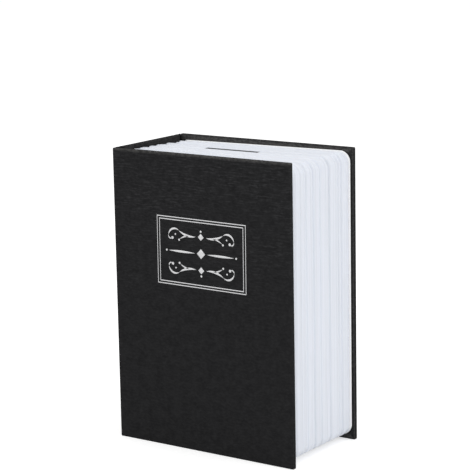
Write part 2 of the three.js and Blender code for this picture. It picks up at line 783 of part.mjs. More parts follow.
// Puts a copy of a rivet at each spot, with its axis along Y.
function addRivets(group, prefix, makeRivet, y, spots) {
  spots.forEach(({ x, z }, index) => {
    const mount = new THREE.Group();
    mount.position.set(x, y, z);
    addPiece(mount, `${prefix}_${index + 1}`, makeRivet(), finishes.zinc);
    group.add(mount);
  });
}

// The whole safe
const book = new THREE.Group();
bookCase(book);
titlePanel(book);
addPiece(book, "page_shell", pageShell(), finishes.page);
addPiece(book, "page_rear_plate", rearPlate(), finishes.page);

const tray = new THREE.Group();
addPiece(tray, "steel_tray", steelTray(), finishes.paint);
addPiece(tray, "strike_bracket", strikeBracket(), finishes.zinc);
addRivets(tray, "tray_rivet", trayRivet, trayInnerBackY, trayRivetSpots);

const door = new THREE.Group();
addPiece(door, "steel_door", steelDoor(), finishes.paint);
doorHinge(tray, door);
addRivets(door, "hinge_rivet", hingeRivet, hingeAxisY, hingeRivetHeights.map((z) => ({ x: hingeRivetX, z })));
door.add(camLock());
book.add(tray, door);

export default book;
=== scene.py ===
"""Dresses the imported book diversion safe: cloth cover, foil title, moulded pages, steel tray, door and lock.

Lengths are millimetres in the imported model's frame until a mesh is finished, which scales it to metres.
X runs from the spine to the fore-edge, Y from the front cover to the back cover and Z upwards.
"""

import json
import logging
import math
from dataclasses import dataclass
from enum import Enum
from typing import Any, Callable, Iterable, Sequence

import bmesh
import bpy
from mathutils import Matrix, Vector

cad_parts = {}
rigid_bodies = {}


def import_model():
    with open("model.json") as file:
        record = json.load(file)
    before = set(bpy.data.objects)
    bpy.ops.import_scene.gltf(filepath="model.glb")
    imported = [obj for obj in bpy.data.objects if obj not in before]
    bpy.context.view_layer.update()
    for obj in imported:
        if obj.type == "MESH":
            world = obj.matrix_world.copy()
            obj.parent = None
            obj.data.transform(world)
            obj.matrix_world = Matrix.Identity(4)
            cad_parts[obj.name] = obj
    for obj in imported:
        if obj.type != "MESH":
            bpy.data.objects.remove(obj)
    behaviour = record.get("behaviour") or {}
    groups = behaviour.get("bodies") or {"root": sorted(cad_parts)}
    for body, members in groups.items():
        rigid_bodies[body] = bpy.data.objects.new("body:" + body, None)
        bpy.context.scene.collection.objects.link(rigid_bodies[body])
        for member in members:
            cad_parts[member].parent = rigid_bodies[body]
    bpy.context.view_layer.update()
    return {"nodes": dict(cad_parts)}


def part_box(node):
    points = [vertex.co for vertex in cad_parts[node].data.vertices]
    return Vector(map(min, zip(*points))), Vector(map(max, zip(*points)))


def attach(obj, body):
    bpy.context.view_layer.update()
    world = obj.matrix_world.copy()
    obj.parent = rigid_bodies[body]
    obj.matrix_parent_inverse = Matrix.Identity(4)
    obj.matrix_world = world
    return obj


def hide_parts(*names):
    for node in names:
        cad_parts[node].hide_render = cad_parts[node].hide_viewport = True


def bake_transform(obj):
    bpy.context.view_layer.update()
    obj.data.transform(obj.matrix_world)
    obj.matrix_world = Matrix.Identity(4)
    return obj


for stray in list(bpy.data.objects):
    bpy.data.objects.remove(stray)
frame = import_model()

Pair = tuple[float, float]
Triple = tuple[float, float, float]
Rect = tuple[float, float, float, float]

LOG = logging.getLogger("book_safe")
MM = 0.001
FLAT_EPS = 1e-4

# The cloth's own map, and how many millimetres it spans
CLOTH_MAP = "cloth"
CLOTH_MAP_SPAN = 200.0

# The attribute that says how pale the cloth is, from wear and from painted light, and where the pages carry
# painted shade on the coin slot's walls; how near an edge the cloth is rubbed, how much paler it is beside
# that edge, and how pale the turn-ins are: at the head and the tail pressed and painted with a highlight of
# the light from above, and elsewhere pressed only
WEAR_AND_LIGHT_LAYER = "wear_and_painted_light"
RUB_WIDTH = 0.6
RUB_BESIDE = 0.8
TURN_IN_WEAR_AND_LIGHT = {True: 2.2, False: 0.4}

# How strongly the pages' head is twisted, and round which X and which share of the block's depth
HEAD_LEAN = 0.018
HEAD_LEAN_MIDDLE: Pair = (10.0, 0.42)

# The coin slot: how wide its rim is rounded, how near to a wall a point counts as on it, and the share of its
# own length that an edge of the rim may rise
SLOT_ROUND = 0.1
SLOT_ROUND_SEGMENTS = 3
SLOT_EPS = 0.01
STEEP_SHARE = 0.8

# The angle past which shading breaks, and the one past which a fold of thin foil or paper is rounded
SHADE_DEGREES = 50.0
FOLD_DEGREES = 60.0

# How far a cutter reaches past what it cuts
OVERCUT = 1.0

# The numbers in the rivets' and the wafers' names
NUMBERS = range(1, 5)

# Where most of a noise's values lie
MOST: Pair = (0.3, 0.7)

# How deep the rear plate's rim is, which looks like the block's last leaf
PLATE_RIM = 1.0


class Body(str, Enum):
    """The rigid bodies that pieces ride on."""

    CASE = "case"
    FRONT_COVER = "front_cover"
    DOOR = "door"
    PLUG = "plug"


class Slot(str, Enum):
    """The record's material slots."""

    CLOTH = "cover_cloth"
    BOARD = "board"
    LINING = "lining"
    FOIL = "foil"
    PAGES = "pages"
    PAINT = "black_paint"
    ZINC = "zinc_plate"
    CHROME = "chrome"
    BRASS = "brass"


class Side(Enum):
    """How the cloth goes round one side of a cover panel."""

    FOLDED = "folded over the board and turned in"
    EDGE = "wrapped round the board's edge only"


def linear(red: int, green: int, blue: int) -> Triple:
    """Turns an 8-bit screen colour into linear light.

    Args:
        red: Red from 0 to 255.
        green: Green from 0 to 255.
        blue: Blue from 0 to 255.

    Returns:
        The colour's three linear parts.
    """
    shares = (value / 255 for value in (red, green, blue))
    return tuple(s / 12.92 if s <= 0.04045 else ((s + 0.055) / 1.055) ** 2.4 for s in shares)


def node_box(node: str) -> tuple[Vector, Vector]:
    """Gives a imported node's lowest and highest corners in millimetres."""
    low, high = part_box(node)
    return low / MM, high / MM


@dataclass(frozen=True)
class Grain:
    """A noise: its lumps to the unit on each axis, how many finer layers it has and how strong they are."""

    scale: Triple
    detail: float = 3.0
    roughness: float = 0.55


@dataclass(frozen=True)
class Ramp:
    """A smooth rise from one range of values to another."""

    source: Pair
    target: Pair = (0.0, 1.0)


class Graph:
    """A material's node tree, put together one node at a time.

    Attributes:
        WAVE_UNIT: Blender's wave node repeats this often over a length of tau.
    """

    WAVE_UNIT = 20

    def __init__(self, name: str) -> None:
        """Starts a material with its principled shader.

        Args:
            name: The material's name.
        """
        self.material = bpy.data.materials.new(name)
        self.material.use_nodes = True
        self.tree = self.material.node_tree
        self.shader = self.tree.nodes["Principled BSDF"]

    def node(self, kind: str, inputs: dict[Any, Any], **settings: Any) -> bpy.types.Node:
        """Adds a node.

        Args:
            kind: The node's Blender type, without its ShaderNode prefix.
            inputs: Values or sockets for the node's inputs, by name or index.
            **settings: Properties of the node itself.

        Returns:
            The new node.
        """
        made = self.tree.nodes.new("ShaderNode" + kind)
        for name, value in settings.items():
            setattr(made, name, value)
        for name, value in inputs.items():
            if isinstance(value, bpy.types.NodeSocket):
                self.tree.links.new(value, made.inputs[name])
            else:
                made.inputs[name].default_value = value
        return made

    def set(self, **sockets: Any) -> None:
        """Sets or links the shader's own sockets.

        Args:
            **sockets: A value or a socket for each, named with underscores for spaces.
        """
        for name, value in sockets.items():
            socket = self.shader.inputs[name.replace("_", " ")]
            if isinstance(value, bpy.types.NodeSocket):
                self.tree.links.new(value, socket)
            elif isinstance(value, tuple):
                socket.default_value = (*value, 1.0)
            else:
                socket.default_value = value

    def millimetres(self) -> bpy.types.NodeSocket:
        """Gives the place on the object in millimetres."""
        place = self.node("TexCoord", {}).outputs["Object"]
        return self.stretched(place, (1 / MM, 1 / MM, 1 / MM))

    def cloth_millimetres(self) -> bpy.types.NodeSocket:
        """Gives the place along and across the cloth, from its own map, in millimetres."""
        place = self.node("UVMap", {}, uv_map=CLOTH_MAP).outputs["UV"]
        return self.stretched(place, (CLOTH_MAP_SPAN, CLOTH_MAP_SPAN, 1.0))

    def stretched(self, place: bpy.types.NodeSocket, scale: Triple) -> bpy.types.NodeSocket:
        """Scales a place by a share on each axis."""
        return self.node("Mapping", {"Vector": place, "Scale": scale}).outputs["Vector"]

    def shifted(self, place: bpy.types.NodeSocket, middle: Sequence[float]) -> bpy.types.NodeSocket:
        """Moves a place so that middle is its zero."""
        away = tuple(-value for value in middle)
        return self.node("Mapping", {"Vector": place, "Location": away}).outputs["Vector"]

    def noise(self, place: bpy.types.NodeSocket, grain: Grain) -> bpy.types.NodeSocket:
        """Gives noise over a place.

        Args:
            place: The place.
            grain: The noise's size and fineness.

        Returns:
            The noise, from 0 to 1.
        """
        inputs = {
            "Vector": self.stretched(place, grain.scale), "Scale": 1.0,
            "Detail": grain.detail, "Roughness": grain.roughness,
        }
        return self.node("TexNoise", inputs).outputs["Fac"]

    def wave(self, place: bpy.types.NodeSocket, axis: str, per_unit: float) -> bpy.types.NodeSocket:
        """Gives the height of threads that repeat along one axis.

        Args:
            place: The place that they are drawn on.
            axis: The axis along which they repeat.
            per_unit: How many there are to the unit.

        Returns:
            The height, from 0 to 1.
        """
        scale = per_unit * math.tau / self.WAVE_UNIT
        inputs = {"Vector": place, "Scale": scale, "Distortion": 0.6, "Detail": 1.0}
        return self.node("TexWave", inputs, bands_direction=axis, wave_profile="SIN").outputs["Fac"]

    def ranged(self, value: bpy.types.NodeSocket, ramp: Ramp) -> bpy.types.NodeSocket:
        """Maps a value along a ramp."""
        inputs = dict(enumerate((value, *ramp.source, *ramp.target)))
        return self.node("MapRange", inputs, interpolation_type="SMOOTHSTEP").outputs[0]

    def math(self, operation: str, *values: Any) -> bpy.types.NodeSocket:
        """Works out a sum, product or the like of values and sockets."""
        return self.node("Math", dict(enumerate(values)), operation=operation).outputs[0]

    def blended(self, share: bpy.types.NodeSocket, first: Any, second: Any) -> bpy.types.NodeSocket:
        """Blends two colours.

        Args:
            share: How much of the second colour shows.
            first: The first colour, or its socket.
            second: The second colour, or its socket.

        Returns:
            The blended colour.
        """
        second = (*second, 1.0) if isinstance(second, tuple) else second
        first = (*first, 1.0) if isinstance(first, tuple) else first
        mixed = self.node("Mix", {0: share, 6: first, 7: second}, data_type="RGBA")
        return mixed.outputs[2]

    def bumped(
        self, height: bpy.types.NodeSocket, depth: float, under: bpy.types.NodeSocket | None = None
    ) -> bpy.types.NodeSocket:
        """Turns a height into a bump.

        Args:
            height: The height, from 0 to 1.
            depth: How deep the bump is, in millimetres.
            under: Another bump that this one lies on.

        Returns:
            The bumped normal.
        """
        inputs = {"Height": height, "Distance": depth * MM, "Strength": 1.0}
        if under is not None:
            inputs["Normal"] = under
        return self.node("Bump", inputs).outputs["Normal"]


@dataclass(frozen=True)
class Finish:
    """A finish: its name, colour and roughness, and how it is drawn."""

    name: str
    colour: Triple
    roughness: float = 0.5

    def dress(self, graph: Graph) -> None:
        """Draws the finish.

        Args:
            graph: The material's graph.
        """
        raise NotImplementedError

    def roughen(self, graph: Graph, noise: bpy.types.NodeSocket, first: float, last: float) -> None:
        """Varies the roughness along a noise.

        Args:
            graph: The material's graph.
            noise: The noise.
            first: How much rougher the finish is where the noise is low.
            last: How much rougher it is where the noise is high.
        """
        graph.set(Roughness=graph.ranged(noise, Ramp(MOST, (self.roughness + first, self.roughness + last))))

    def material(self) -> bpy.types.Material:
        """Gives the finish's material, made on first use.

        Returns:
            The material.
        """
        known = bpy.data.materials.get(self.name)
        if known is not None:
            return known
        graph = Graph(self.name)
        self.dress(graph)
        return graph.material


@dataclass(frozen=True)
class BookCloth(Finish):
    """Dark book cloth with a mottled weave, pale streaks along its grain, and rubbed edges and pale turn-ins.

    The streaks are partly the yarn's slubs and partly painted sheen on the cloth's crinkles; the turn-ins at
    the head and the tail carry a painted highlight.

    Attributes:
        mottle: Small lumps in the weave.
        mottled: How much paler they make it.
        mottle_colour: The colour of the palest.
        blotches: Wider lumps.
        blotched: How much paler those make it.
        streaks: Crinkles across the book, drawn pale: partly slubs, partly painted sheen on their ridges.
        streaked: Which of them show.
        streak_slub_and_sheen_colour: Their colour.
        streak_share: How much of that colour shows.
        clusters: Where crinkles gather.
        clustered: How much more they show there.
        more_upwards: How much more they show towards the head, from one height to another.
        broken_up: How much the mottle breaks them up.
        rubbed: How much of the pale colour shows where the cloth is marked: wear on rubbed edges and pressed
            turn-ins, and a painted highlight on the turn-ins at the head and the tail.
        wear_and_painted_light_colour: That colour.
        threads: How many threads there are to the millimetre.
        thread_depth: How high they stand.
        crinkle_depth: How high the crinkles stand.
        crinkle_mottle: How much of the mottle stands up with them.
    """

    mottle: Grain = Grain((0.65, 1.2, 1.0), 4.0, 0.6)
    mottled: Ramp = Ramp((0.36, 0.66), (0.08, 0.5))
    mottle_colour: Triple = linear(47, 47, 48)
    blotches: Grain = Grain((0.24, 0.3, 1.0), 4.0)
    blotched: Ramp = Ramp((0.32, 0.66), (0.0, 0.36))
    streaks: Grain = Grain((0.2, 1.8, 1.0), 4.0, 0.6)
    streaked: Ramp = Ramp((0.46, 0.66))
    # Pale streaks: partly slubs, partly painted sheen on the crinkles' ridges
    streak_slub_and_sheen_colour: Triple = linear(77, 77, 79)
    streak_share: float = 0.34
    clusters: Grain = Grain((0.028, 0.06, 1.0), 2.0)
    clustered: Ramp = Ramp((0.28, 0.6), (0.3, 1.0))
    more_upwards: Ramp = Ramp((45.0, 100.0), (0.1, 1.0))
    broken_up: Ramp = Ramp((0.38, 0.58), (0.35, 1.0))
    rubbed: Ramp = Ramp((0.35, 0.65), (0.15, 0.5))
    # The pale colour of wear on rubbed edges and pressed turn-ins, also used for the turn-ins' painted
    # highlight
    wear_and_painted_light_colour: Triple = linear(84, 83, 82)
    threads: float = 2.6
    thread_depth: float = 0.02
    crinkle_depth: float = 0.12
    crinkle_mottle: float = 0.5

    def dress(self, graph: Graph) -> None:
        """Draws the cloth on its own map.

        Args:
            graph: The material's graph.
        """
        place = graph.cloth_millimetres()
        mottle = graph.noise(place, self.mottle)
        streaks = graph.noise(place, self.streaks)
        clusters = graph.ranged(graph.noise(place, self.clusters), self.clustered)
        height = graph.node("SeparateXYZ", {0: place}).outputs["Y"]
        often = graph.math("MULTIPLY", clusters, graph.ranged(height, self.more_upwards))
        shown = graph.math("MULTIPLY", graph.ranged(streaks, self.streaked), often)
        broken = graph.math("MULTIPLY", shown, graph.ranged(mottle, self.broken_up))
        blotches = graph.ranged(graph.noise(place, self.blotches), self.blotched)
        paler = graph.math("ADD", graph.ranged(mottle, self.mottled), blotches)
        ground = graph.blended(paler, self.colour, self.mottle_colour)
        # Pale streaks, more towards the head: partly slubs, partly painted sheen on the crinkles
        cloth = graph.blended(graph.math("MULTIPLY", broken, self.streak_share), ground, self.streak_slub_and_sheen_colour)
        # Pale where marked: worn edges and pressed turn-ins, and the painted highlight on the turn-ins at the
        # head and the tail
        wear_and_painted_light = graph.node("Attribute", {}, attribute_name=WEAR_AND_LIGHT_LAYER).outputs["Fac"]
        worn_and_lit = graph.math("MULTIPLY", wear_and_painted_light, graph.ranged(mottle, self.rubbed))
        graph.set(Base_Color=graph.blended(worn_and_lit, cloth, self.wear_and_painted_light_colour))
        across, along = (graph.wave(place, axis, self.threads) for axis in "XY")
        woven = graph.bumped(graph.math("MULTIPLY", across, along), self.thread_depth)
        crinkles = graph.math("ADD", streaks, graph.math("MULTIPLY", mottle, self.crinkle_mottle))
        graph.set(Normal=graph.bumped(crinkles, self.crinkle_depth, woven), Specular_IOR_Level=0.0)
        self.roughen(graph, streaks, 0.1, 0.0)


@dataclass(frozen=True)
class LiningPaper(Finish):
    """Matte black lining paper with fine fibres, in clouds."""

    fibres: Grain = Grain((1.4, 1.4, 1.4), 8.0, 0.7)
    fibrous: Ramp = Ramp((0.45, 0.75))
    fibre_colour: Triple = linear(52, 52, 54)
    fibre_depth: float = 0.02
    clouds: Grain = Grain((0.06, 0.06, 0.06), 2.0)
    clouded: Ramp = Ramp(MOST, (0.3, 0.8))

    def dress(self, graph: Graph) -> None:
        """Draws the paper.

        Args:
            graph: The material's graph.
        """
        place = graph.millimetres()
        fibres = graph.noise(place, self.fibres)
        clouds = graph.ranged(graph.noise(place, self.clouds), self.clouded)
        share = graph.math("MULTIPLY", graph.ranged(fibres, self.fibrous), clouds)
        graph.set(Base_Color=graph.blended(share, self.colour, self.fibre_colour))
        graph.set(Normal=graph.bumped(fibres, self.fibre_depth), Specular_IOR_Level=0.3)
        self.roughen(graph, fibres, -0.12, 0.0)


@dataclass(frozen=True)
class GreyBoard(Finish):
    """Grey binder's board with flecks of pulp."""

    pulp: Grain = Grain((2.2, 2.2, 2.2), 6.0, 0.7)
    pulp_depth: float = 0.05
    flecked: Ramp = Ramp((0.5, 0.72))
    fleck_colour: Triple = linear(104, 99, 90)

    def dress(self, graph: Graph) -> None:
        """Draws the board.

        Args:
            graph: The material's graph.
        """
        pulp = graph.noise(graph.millimetres(), self.pulp)
        graph.set(Base_Color=graph.blended(graph.ranged(pulp, self.flecked), self.colour, self.fleck_colour))
        graph.set(Normal=graph.bumped(pulp, self.pulp_depth), Roughness=self.roughness)


@dataclass(frozen=True)
class StampedFoil(Finish):
    """Silver stamping foil that takes up the cloth's grain and has rubbed thin in specks."""

    grain: Grain = Grain((0.4, 1.0, 2.4), 5.0, 0.6)
    grain_depth: float = 0.05
    specks: Grain = Grain((5.0, 5.0, 5.0), 4.0, 0.7)
    specked: Ramp = Ramp((0.58, 0.7))
    speck_share: float = 0.55
    thin_colour: Triple = linear(150, 150, 152)
    metallic: float = 0.35

    def dress(self, graph: Graph) -> None:
        """Draws the foil.

        Args:
            graph: The material's graph.
        """
        place = graph.millimetres()
        grain = graph.noise(place, self.grain)
        specks = graph.ranged(graph.noise(place, self.specks), self.specked)
        thin = graph.math("MULTIPLY", specks, self.speck_share)
        graph.set(Base_Color=graph.blended(thin, self.colour, self.thin_colour), Metallic=self.metallic)
        graph.set(Normal=graph.bumped(grain, self.grain_depth), Specular_IOR_Level=0.5)
        self.roughen(graph, grain, 0.0, 0.2)


@dataclass(frozen=True)
class MouldedPages(Finish):
    """White plastic moulded with the fine edges of leaves, which run round the block.

    Attributes:
        crease_shade_colour: The painted shade in the partings between leaves.
        leaves: Where groups of leaves part.
        leafed: How much of that colour shows there.
        leaf_depth: How deep the partings are.
        fine: Where single leaves part.
        fine_share: How deep those partings are, as a share of the others.
        pebble: The plastic's own surface.
        pebble_depth: How rough that is.
        wear_and_painted_light_colour: The coin slot's walls, painted near black as the shade inside the slot.
        rim_highlight_colour: The rear plate's rim, painted brighter as a highlight on its rounded edge.
        rim_from: Where the rim starts, along Y. Nothing lies so far back unless it is set.
        rim_blur: How far the rim's colour fades in on each side of that.
        glow: How much light passes through the plastic.
        glow_reach: How far it passes, in metres.
        glow_colour: How far red, green and blue pass, against one another.
    """

    # Painted shade in the partings between leaves
    crease_shade_colour: Triple = linear(213, 217, 224)
    leaves: Grain = Grain((0.012, 1.9, 0.012), 3.0, 0.6)
    leafed: Ramp = Ramp((0.36, 0.6), (0.5, 0.0))
    leaf_depth: float = 0.06
    fine: Grain = Grain((0.03, 9.0, 0.03), 2.0, 0.5)
    fine_share: float = 0.35
    pebble: Grain = Grain((1.2, 1.2, 1.2), 4.0, 0.6)
    pebble_depth: float = 0.012
    # The coin slot's walls are painted near black: painted shade for the dark inside the slot
    wear_and_painted_light_colour: Triple = linear(30, 30, 32)
    # Painted highlight on the rear plate's rounded rim
    rim_highlight_colour: Triple = linear(252, 253, 255)
    rim_from: float = 1000.0
    rim_blur: float = 0.05
    glow: float = 0.08
    glow_reach: float = 0.0012
    glow_colour: Triple = (1.0, 0.9, 0.8)

    def dress(self, graph: Graph) -> None:
        """Draws the leaves across the book's depth with painted shade between them, the rim's painted
        highlight and the painted shade on the coin slot's walls.

        Args:
            graph: The material's graph.
        """
        place = graph.millimetres()
        leaves, fine, pebble = (graph.noise(place, grain) for grain in (self.leaves, self.fine, self.pebble))
        # Painted shade in the partings between leaves
        leafed = graph.blended(graph.ranged(leaves, self.leafed), self.colour, self.crease_shade_colour)
        depth = graph.node("SeparateXYZ", {0: place}).outputs["Y"]
        # Painted highlight: the rear plate's rim is painted brighter
        rim = graph.ranged(depth, Ramp((self.rim_from - self.rim_blur, self.rim_from + self.rim_blur)))
        rimmed = graph.blended(rim, leafed, self.rim_highlight_colour)
        # Painted shade: the coin slot's walls are painted near black
        wear_and_painted_light = graph.node("Attribute", {}, attribute_name=WEAR_AND_LIGHT_LAYER).outputs["Fac"]
        graph.set(Base_Color=graph.blended(wear_and_painted_light, rimmed, self.wear_and_painted_light_colour))
        grooves = graph.math("ADD", leaves, graph.math("MULTIPLY", fine, self.fine_share))
        graph.set(Normal=graph.bumped(pebble, self.pebble_depth, graph.bumped(grooves, self.leaf_depth)))
        graph.set(Subsurface_Weight=self.glow, Subsurface_Scale=self.glow_reach, Specular_IOR_Level=0.45)
        graph.shader.inputs["Subsurface Radius"].default_value = self.glow_colour
        self.roughen(graph, pebble, -0.05, 0.08)


@dataclass(frozen=True)
class PowderCoat(Finish):
    """Fine black powder coat with an orange-peel surface."""

    peel: Grain = Grain((1.6, 1.6, 1.6), 2.0, 0.5)
    specks: Grain = Grain((6.0, 6.0, 6.0), 2.0, 0.5)
    speck_share: float = 0.25
    depth: float = 0.035
    scuffs: Grain = Grain((0.35, 0.35, 2.2), 6.0, 0.7)
    scuffed: Ramp = Ramp((0.66, 0.78), (0.0, 0.35))
    scuff_colour: Triple = linear(70, 72, 76)

    def dress(self, graph: Graph) -> None:
        """Draws the coat.

        Args:
            graph: The material's graph.
        """
        place = graph.millimetres()
        peel = graph.noise(place, self.peel)
        specks = graph.math("MULTIPLY", graph.noise(place, self.specks), self.speck_share)
        scuffs = graph.ranged(graph.noise(place, self.scuffs), self.scuffed)
        graph.set(Base_Color=graph.blended(scuffs, self.colour, self.scuff_colour), Specular_IOR_Level=0.5)
        graph.set(Normal=graph.bumped(graph.math("ADD", peel, specks), self.depth))
        self.roughen(graph, peel, -0.06, 0.08)


@dataclass(frozen=True)
class PlatedSteel(Finish):
    """Plated steel with the draw lines of the sheet under a cloudy plate."""

    cloud_colour: Triple = linear(196, 198, 206)
    clouds: Grain = Grain((0.4, 0.4, 0.4), 4.0)
    clouded: Ramp = Ramp((0.35, 0.65), (0.0, 0.7))
    lines: Grain = Grain((0.15, 0.15, 4.0), 4.0, 0.6)
    line_depth: float = 0.008

    def dress(self, graph: Graph) -> None:
        """Draws the plate.

        Args:
            graph: The material's graph.
        """
        place = graph.millimetres()
        lines = graph.noise(place, self.lines)
        clouds = graph.ranged(graph.noise(place, self.clouds), self.clouded)
        graph.set(Base_Color=graph.blended(clouds, self.colour, self.cloud_colour), Metallic=1.0)
        graph.set(Normal=graph.bumped(lines, self.line_depth))
        self.roughen(graph, lines, -0.06, 0.08)


@dataclass(frozen=True)
class TurnedBrass(Finish):
    """Brass turned in a lathe, with its rings round the lock's axis."""

    axis: Triple = (0.0, 0.0, 0.0)
    rings: Grain = Grain((5.0, 1.0, 1.0), 4.0, 0.6)
    ring_depth: float = 0.012
    tarnish: Grain = Grain((0.7, 0.7, 0.7), 5.0)
    tarnished: Ramp = Ramp((0.45, 0.7), (0.0, 0.6))
    tarnish_colour: Triple = linear(150, 118, 66)

    def dress(self, graph: Graph) -> None:
        """Draws the rings and the tarnish.

        Args:
            graph: The material's graph.
        """
        place = graph.shifted(graph.millimetres(), self.axis)
        spread = graph.node("VectorMath", {0: graph.stretched(place, (1.0, 0.0, 1.0))}, operation="LENGTH")
        radius = graph.node("CombineXYZ", {0: spread.outputs["Value"]}).outputs[0]
        rings = graph.noise(radius, self.rings)
        tarnish = graph.ranged(graph.noise(place, self.tarnish), self.tarnished)
        graph.set(Base_Color=graph.blended(tarnish, self.colour, self.tarnish_colour), Metallic=1.0)
        graph.set(Normal=graph.bumped(rings, self.ring_depth))
        self.roughen(graph, rings, 0.0, 0.14)


LOCK_AXIS = (node_box("lock_plug")[0] + node_box("lock_plug")[1]) / 2

CLOTH = BookCloth("dark_book_cloth", linear(34, 34, 35), 0.7)
LINING = LiningPaper("black_lining_paper", linear(27, 27, 28), 0.82)
BOARD = GreyBoard("grey_board", linear(142, 136, 124), 0.95)
FOIL = StampedFoil("silver_stamping_foil", linear(212, 212, 213), 0.34)
PAGES = MouldedPages("moulded_pages", linear(230, 234, 243), 0.42)
# The plate's fourth value is the painted shade between its leaves
PLATE = MouldedPages(
    "smooth_moulded_plate", linear(227, 231, 239), 0.36, linear(222, 226, 234),
    # Where the rim's painted highlight starts
    leaf_depth=0.02, rim_from=node_box("page_rear_plate")[1].y - PLATE_RIM - 0.05,
)
PAINT = PowderCoat("black_powder_coat", linear(34, 35, 37), 0.48)
ZINC = PlatedSteel("zinc_plate", linear(192, 194, 197), 0.32, linear(172, 175, 184))
CHROME = PlatedSteel(
    "chrome_plate", linear(208, 210, 213), 0.14, linear(192, 195, 200),
    clouded=Ramp((0.35, 0.65), (0.0, 0.3)), lines=Grain((0.6, 0.6, 0.6), 4.0, 0.6),
)
BRASS = TurnedBrass("turned_brass", linear(208, 172, 98), 0.24, tuple(LOCK_AXIS))


class Shaper:
    """A mesh in the making."""

    def __init__(self) -> None:
        """Starts an empty mesh."""
        self.bm = bmesh.new()

    def rectangle(self, rect: Rect, y: float) -> bmesh.types.BMFace:
        """Adds an upright rectangle.

        Args:
            rect: Its left, right, bottom and top.
            y: How far back it stands.

        Returns:
            The new face.
        """
        left, right, bottom, top = rect
        place = Matrix.Translation(((left + right) / 2, y, (bottom + top) / 2))
        upright = Matrix.Rotation(math.pi / 2, 4, "X")
        size = Matrix.Diagonal((right - left, top - bottom, 1, 1))
        made = bmesh.ops.create_grid(
            self.bm, x_segments=1, y_segments=1, size=0.5, matrix=place @ upright @ size
        )
        return made["verts"][0].link_faces[0]

    def rounded(self, face: bmesh.types.BMFace, radii: Pair, segments: int) -> bmesh.types.BMFace:
        """Rounds a rectangle's corners.

        Args:
            face: The rectangle.
            radii: The radius at its left and the one at its right.
            segments: How many straight pieces each corner has.

        Returns:
            The face that takes the rectangle's place.
        """
        middle = face.calc_center_median().x
        others = set(self.bm.faces) - {face}
        for radius, is_left in zip(radii, (True, False)):
            corners = [v for v in face.verts if (v.co.x < middle) == is_left and len(v.link_faces) == 1]
            bmesh.ops.bevel(
                self.bm, geom=corners, offset=radius, segments=segments, profile=0.5,
                affect="VERTICES", material=-1,
            )
            face = next(f for f in self.bm.faces if f not in others)
        return face

    def step(self, face: bmesh.types.BMFace, rect: Rect, y: float, keep: bool = False) -> bmesh.types.BMFace:
        """Extrudes a face and moves the new one to another rectangle and depth.

        Args:
            face: The face to extrude.
            rect: The left, right, bottom and top that the new face has.
            y: How far back the new face stands.
            keep: Whether the old face stays, as the mesh's closed end.

        Returns:
            The new face.
        """
        if keep:
            made = bmesh.ops.extrude_face_region(self.bm, geom=[face])["geom"]
            new = next(g for g in made if isinstance(g, bmesh.types.BMFace))
        else:
            new = bmesh.ops.extrude_discrete_faces(self.bm, faces=[face])["faces"][0]
        xs = [v.co.x for v in new.verts]
        zs = [v.co.z for v in new.verts]
        left, right, bottom, top = rect
        across = (right - left) / (max(xs) - min(xs))
        up = (top - bottom) / (max(zs) - min(zs))
        old = Vector((min(xs), next(iter(new.verts)).co.y, min(zs)))
        place = Matrix.Translation((left, y, bottom)) @ Matrix.Diagonal((across, 1, up, 1))
        bmesh.ops.transform(self.bm, matrix=place @ Matrix.Translation(-old), verts=list(new.verts))
        return new

    def loop(self, rect: Rect, y: float, radii: Pair, segments: int) -> list[bmesh.types.BMEdge]:
        """Adds the bare outline of a rounded rectangle.

        Args:
            rect: Its left, right, bottom and top.
            y: How far back it stands.
            radii: The corners' radius at its left and at its right.
            segments: How many straight pieces each corner has.

        Returns:
            The outline's edges.
        """
        face = self.rounded(self.rectangle(rect, y), radii, segments)
        edges = list(face.edges)
        bmesh.ops.delete(self.bm, geom=[face], context="FACES_ONLY")
        return edges

    def bridge(self, first: list[bmesh.types.BMEdge], second: list[bmesh.types.BMEdge]) -> None:
        """Joins two outlines with faces, flat ones where both lie at the same depth.

        Args:
            first: The first outline's edges.
            second: The second outline's edges.
        """
        if abs(first[0].verts[0].co.y - second[0].verts[0].co.y) < FLAT_EPS:
            bmesh.ops.triangle_fill(self.bm, use_beauty=True, edges=first + second, normal=(0, -1, 0))
        else:
            bmesh.ops.bridge_loops(self.bm, edges=first + second)

    def soften(self, edges: Iterable[bmesh.types.BMEdge], width: float, segments: int) -> None:
        """Rounds edges over.

        Args:
            edges: The edges.
            width: How wide the rounding is.
            segments: How many flat strips it has.
        """
        bmesh.ops.bevel(
            self.bm, geom=list(edges), offset=width, offset_type="OFFSET", segments=segments,
            profile=0.5, affect="EDGES", clamp_overlap=True, material=-1,
        )

    def thicken(self, way: Triple) -> None:
        """Makes flat faces a closed body.

        Args:
            way: How far off the body's other side lies, along X, Y and Z.
        """
        made = bmesh.ops.extrude_face_region(self.bm, geom=self.bm.faces[:])["geom"]
        moved = [g for g in made if isinstance(g, bmesh.types.BMVert)]
        bmesh.ops.translate(self.bm, vec=way, verts=moved)

    def sharp_edges(self, degrees: float) -> list[bmesh.types.BMEdge]:
        """Lists the edges that turn outwards by more than an angle."""
        limit = math.radians(degrees)
        return [e for e in self.bm.edges if e.is_manifold and e.calc_face_angle_signed() > limit]

    def edges_where(self, test: Callable[[Vector, Vector], bool]) -> list[bmesh.types.BMEdge]:
        """Lists the edges whose two ends pass a test."""
        return [e for e in self.bm.edges if test(e.verts[0].co, e.verts[1].co)]

    def place(self, matrix: Matrix) -> None:
        """Moves the whole mesh."""
        bmesh.ops.transform(self.bm, matrix=matrix, verts=self.bm.verts[:])

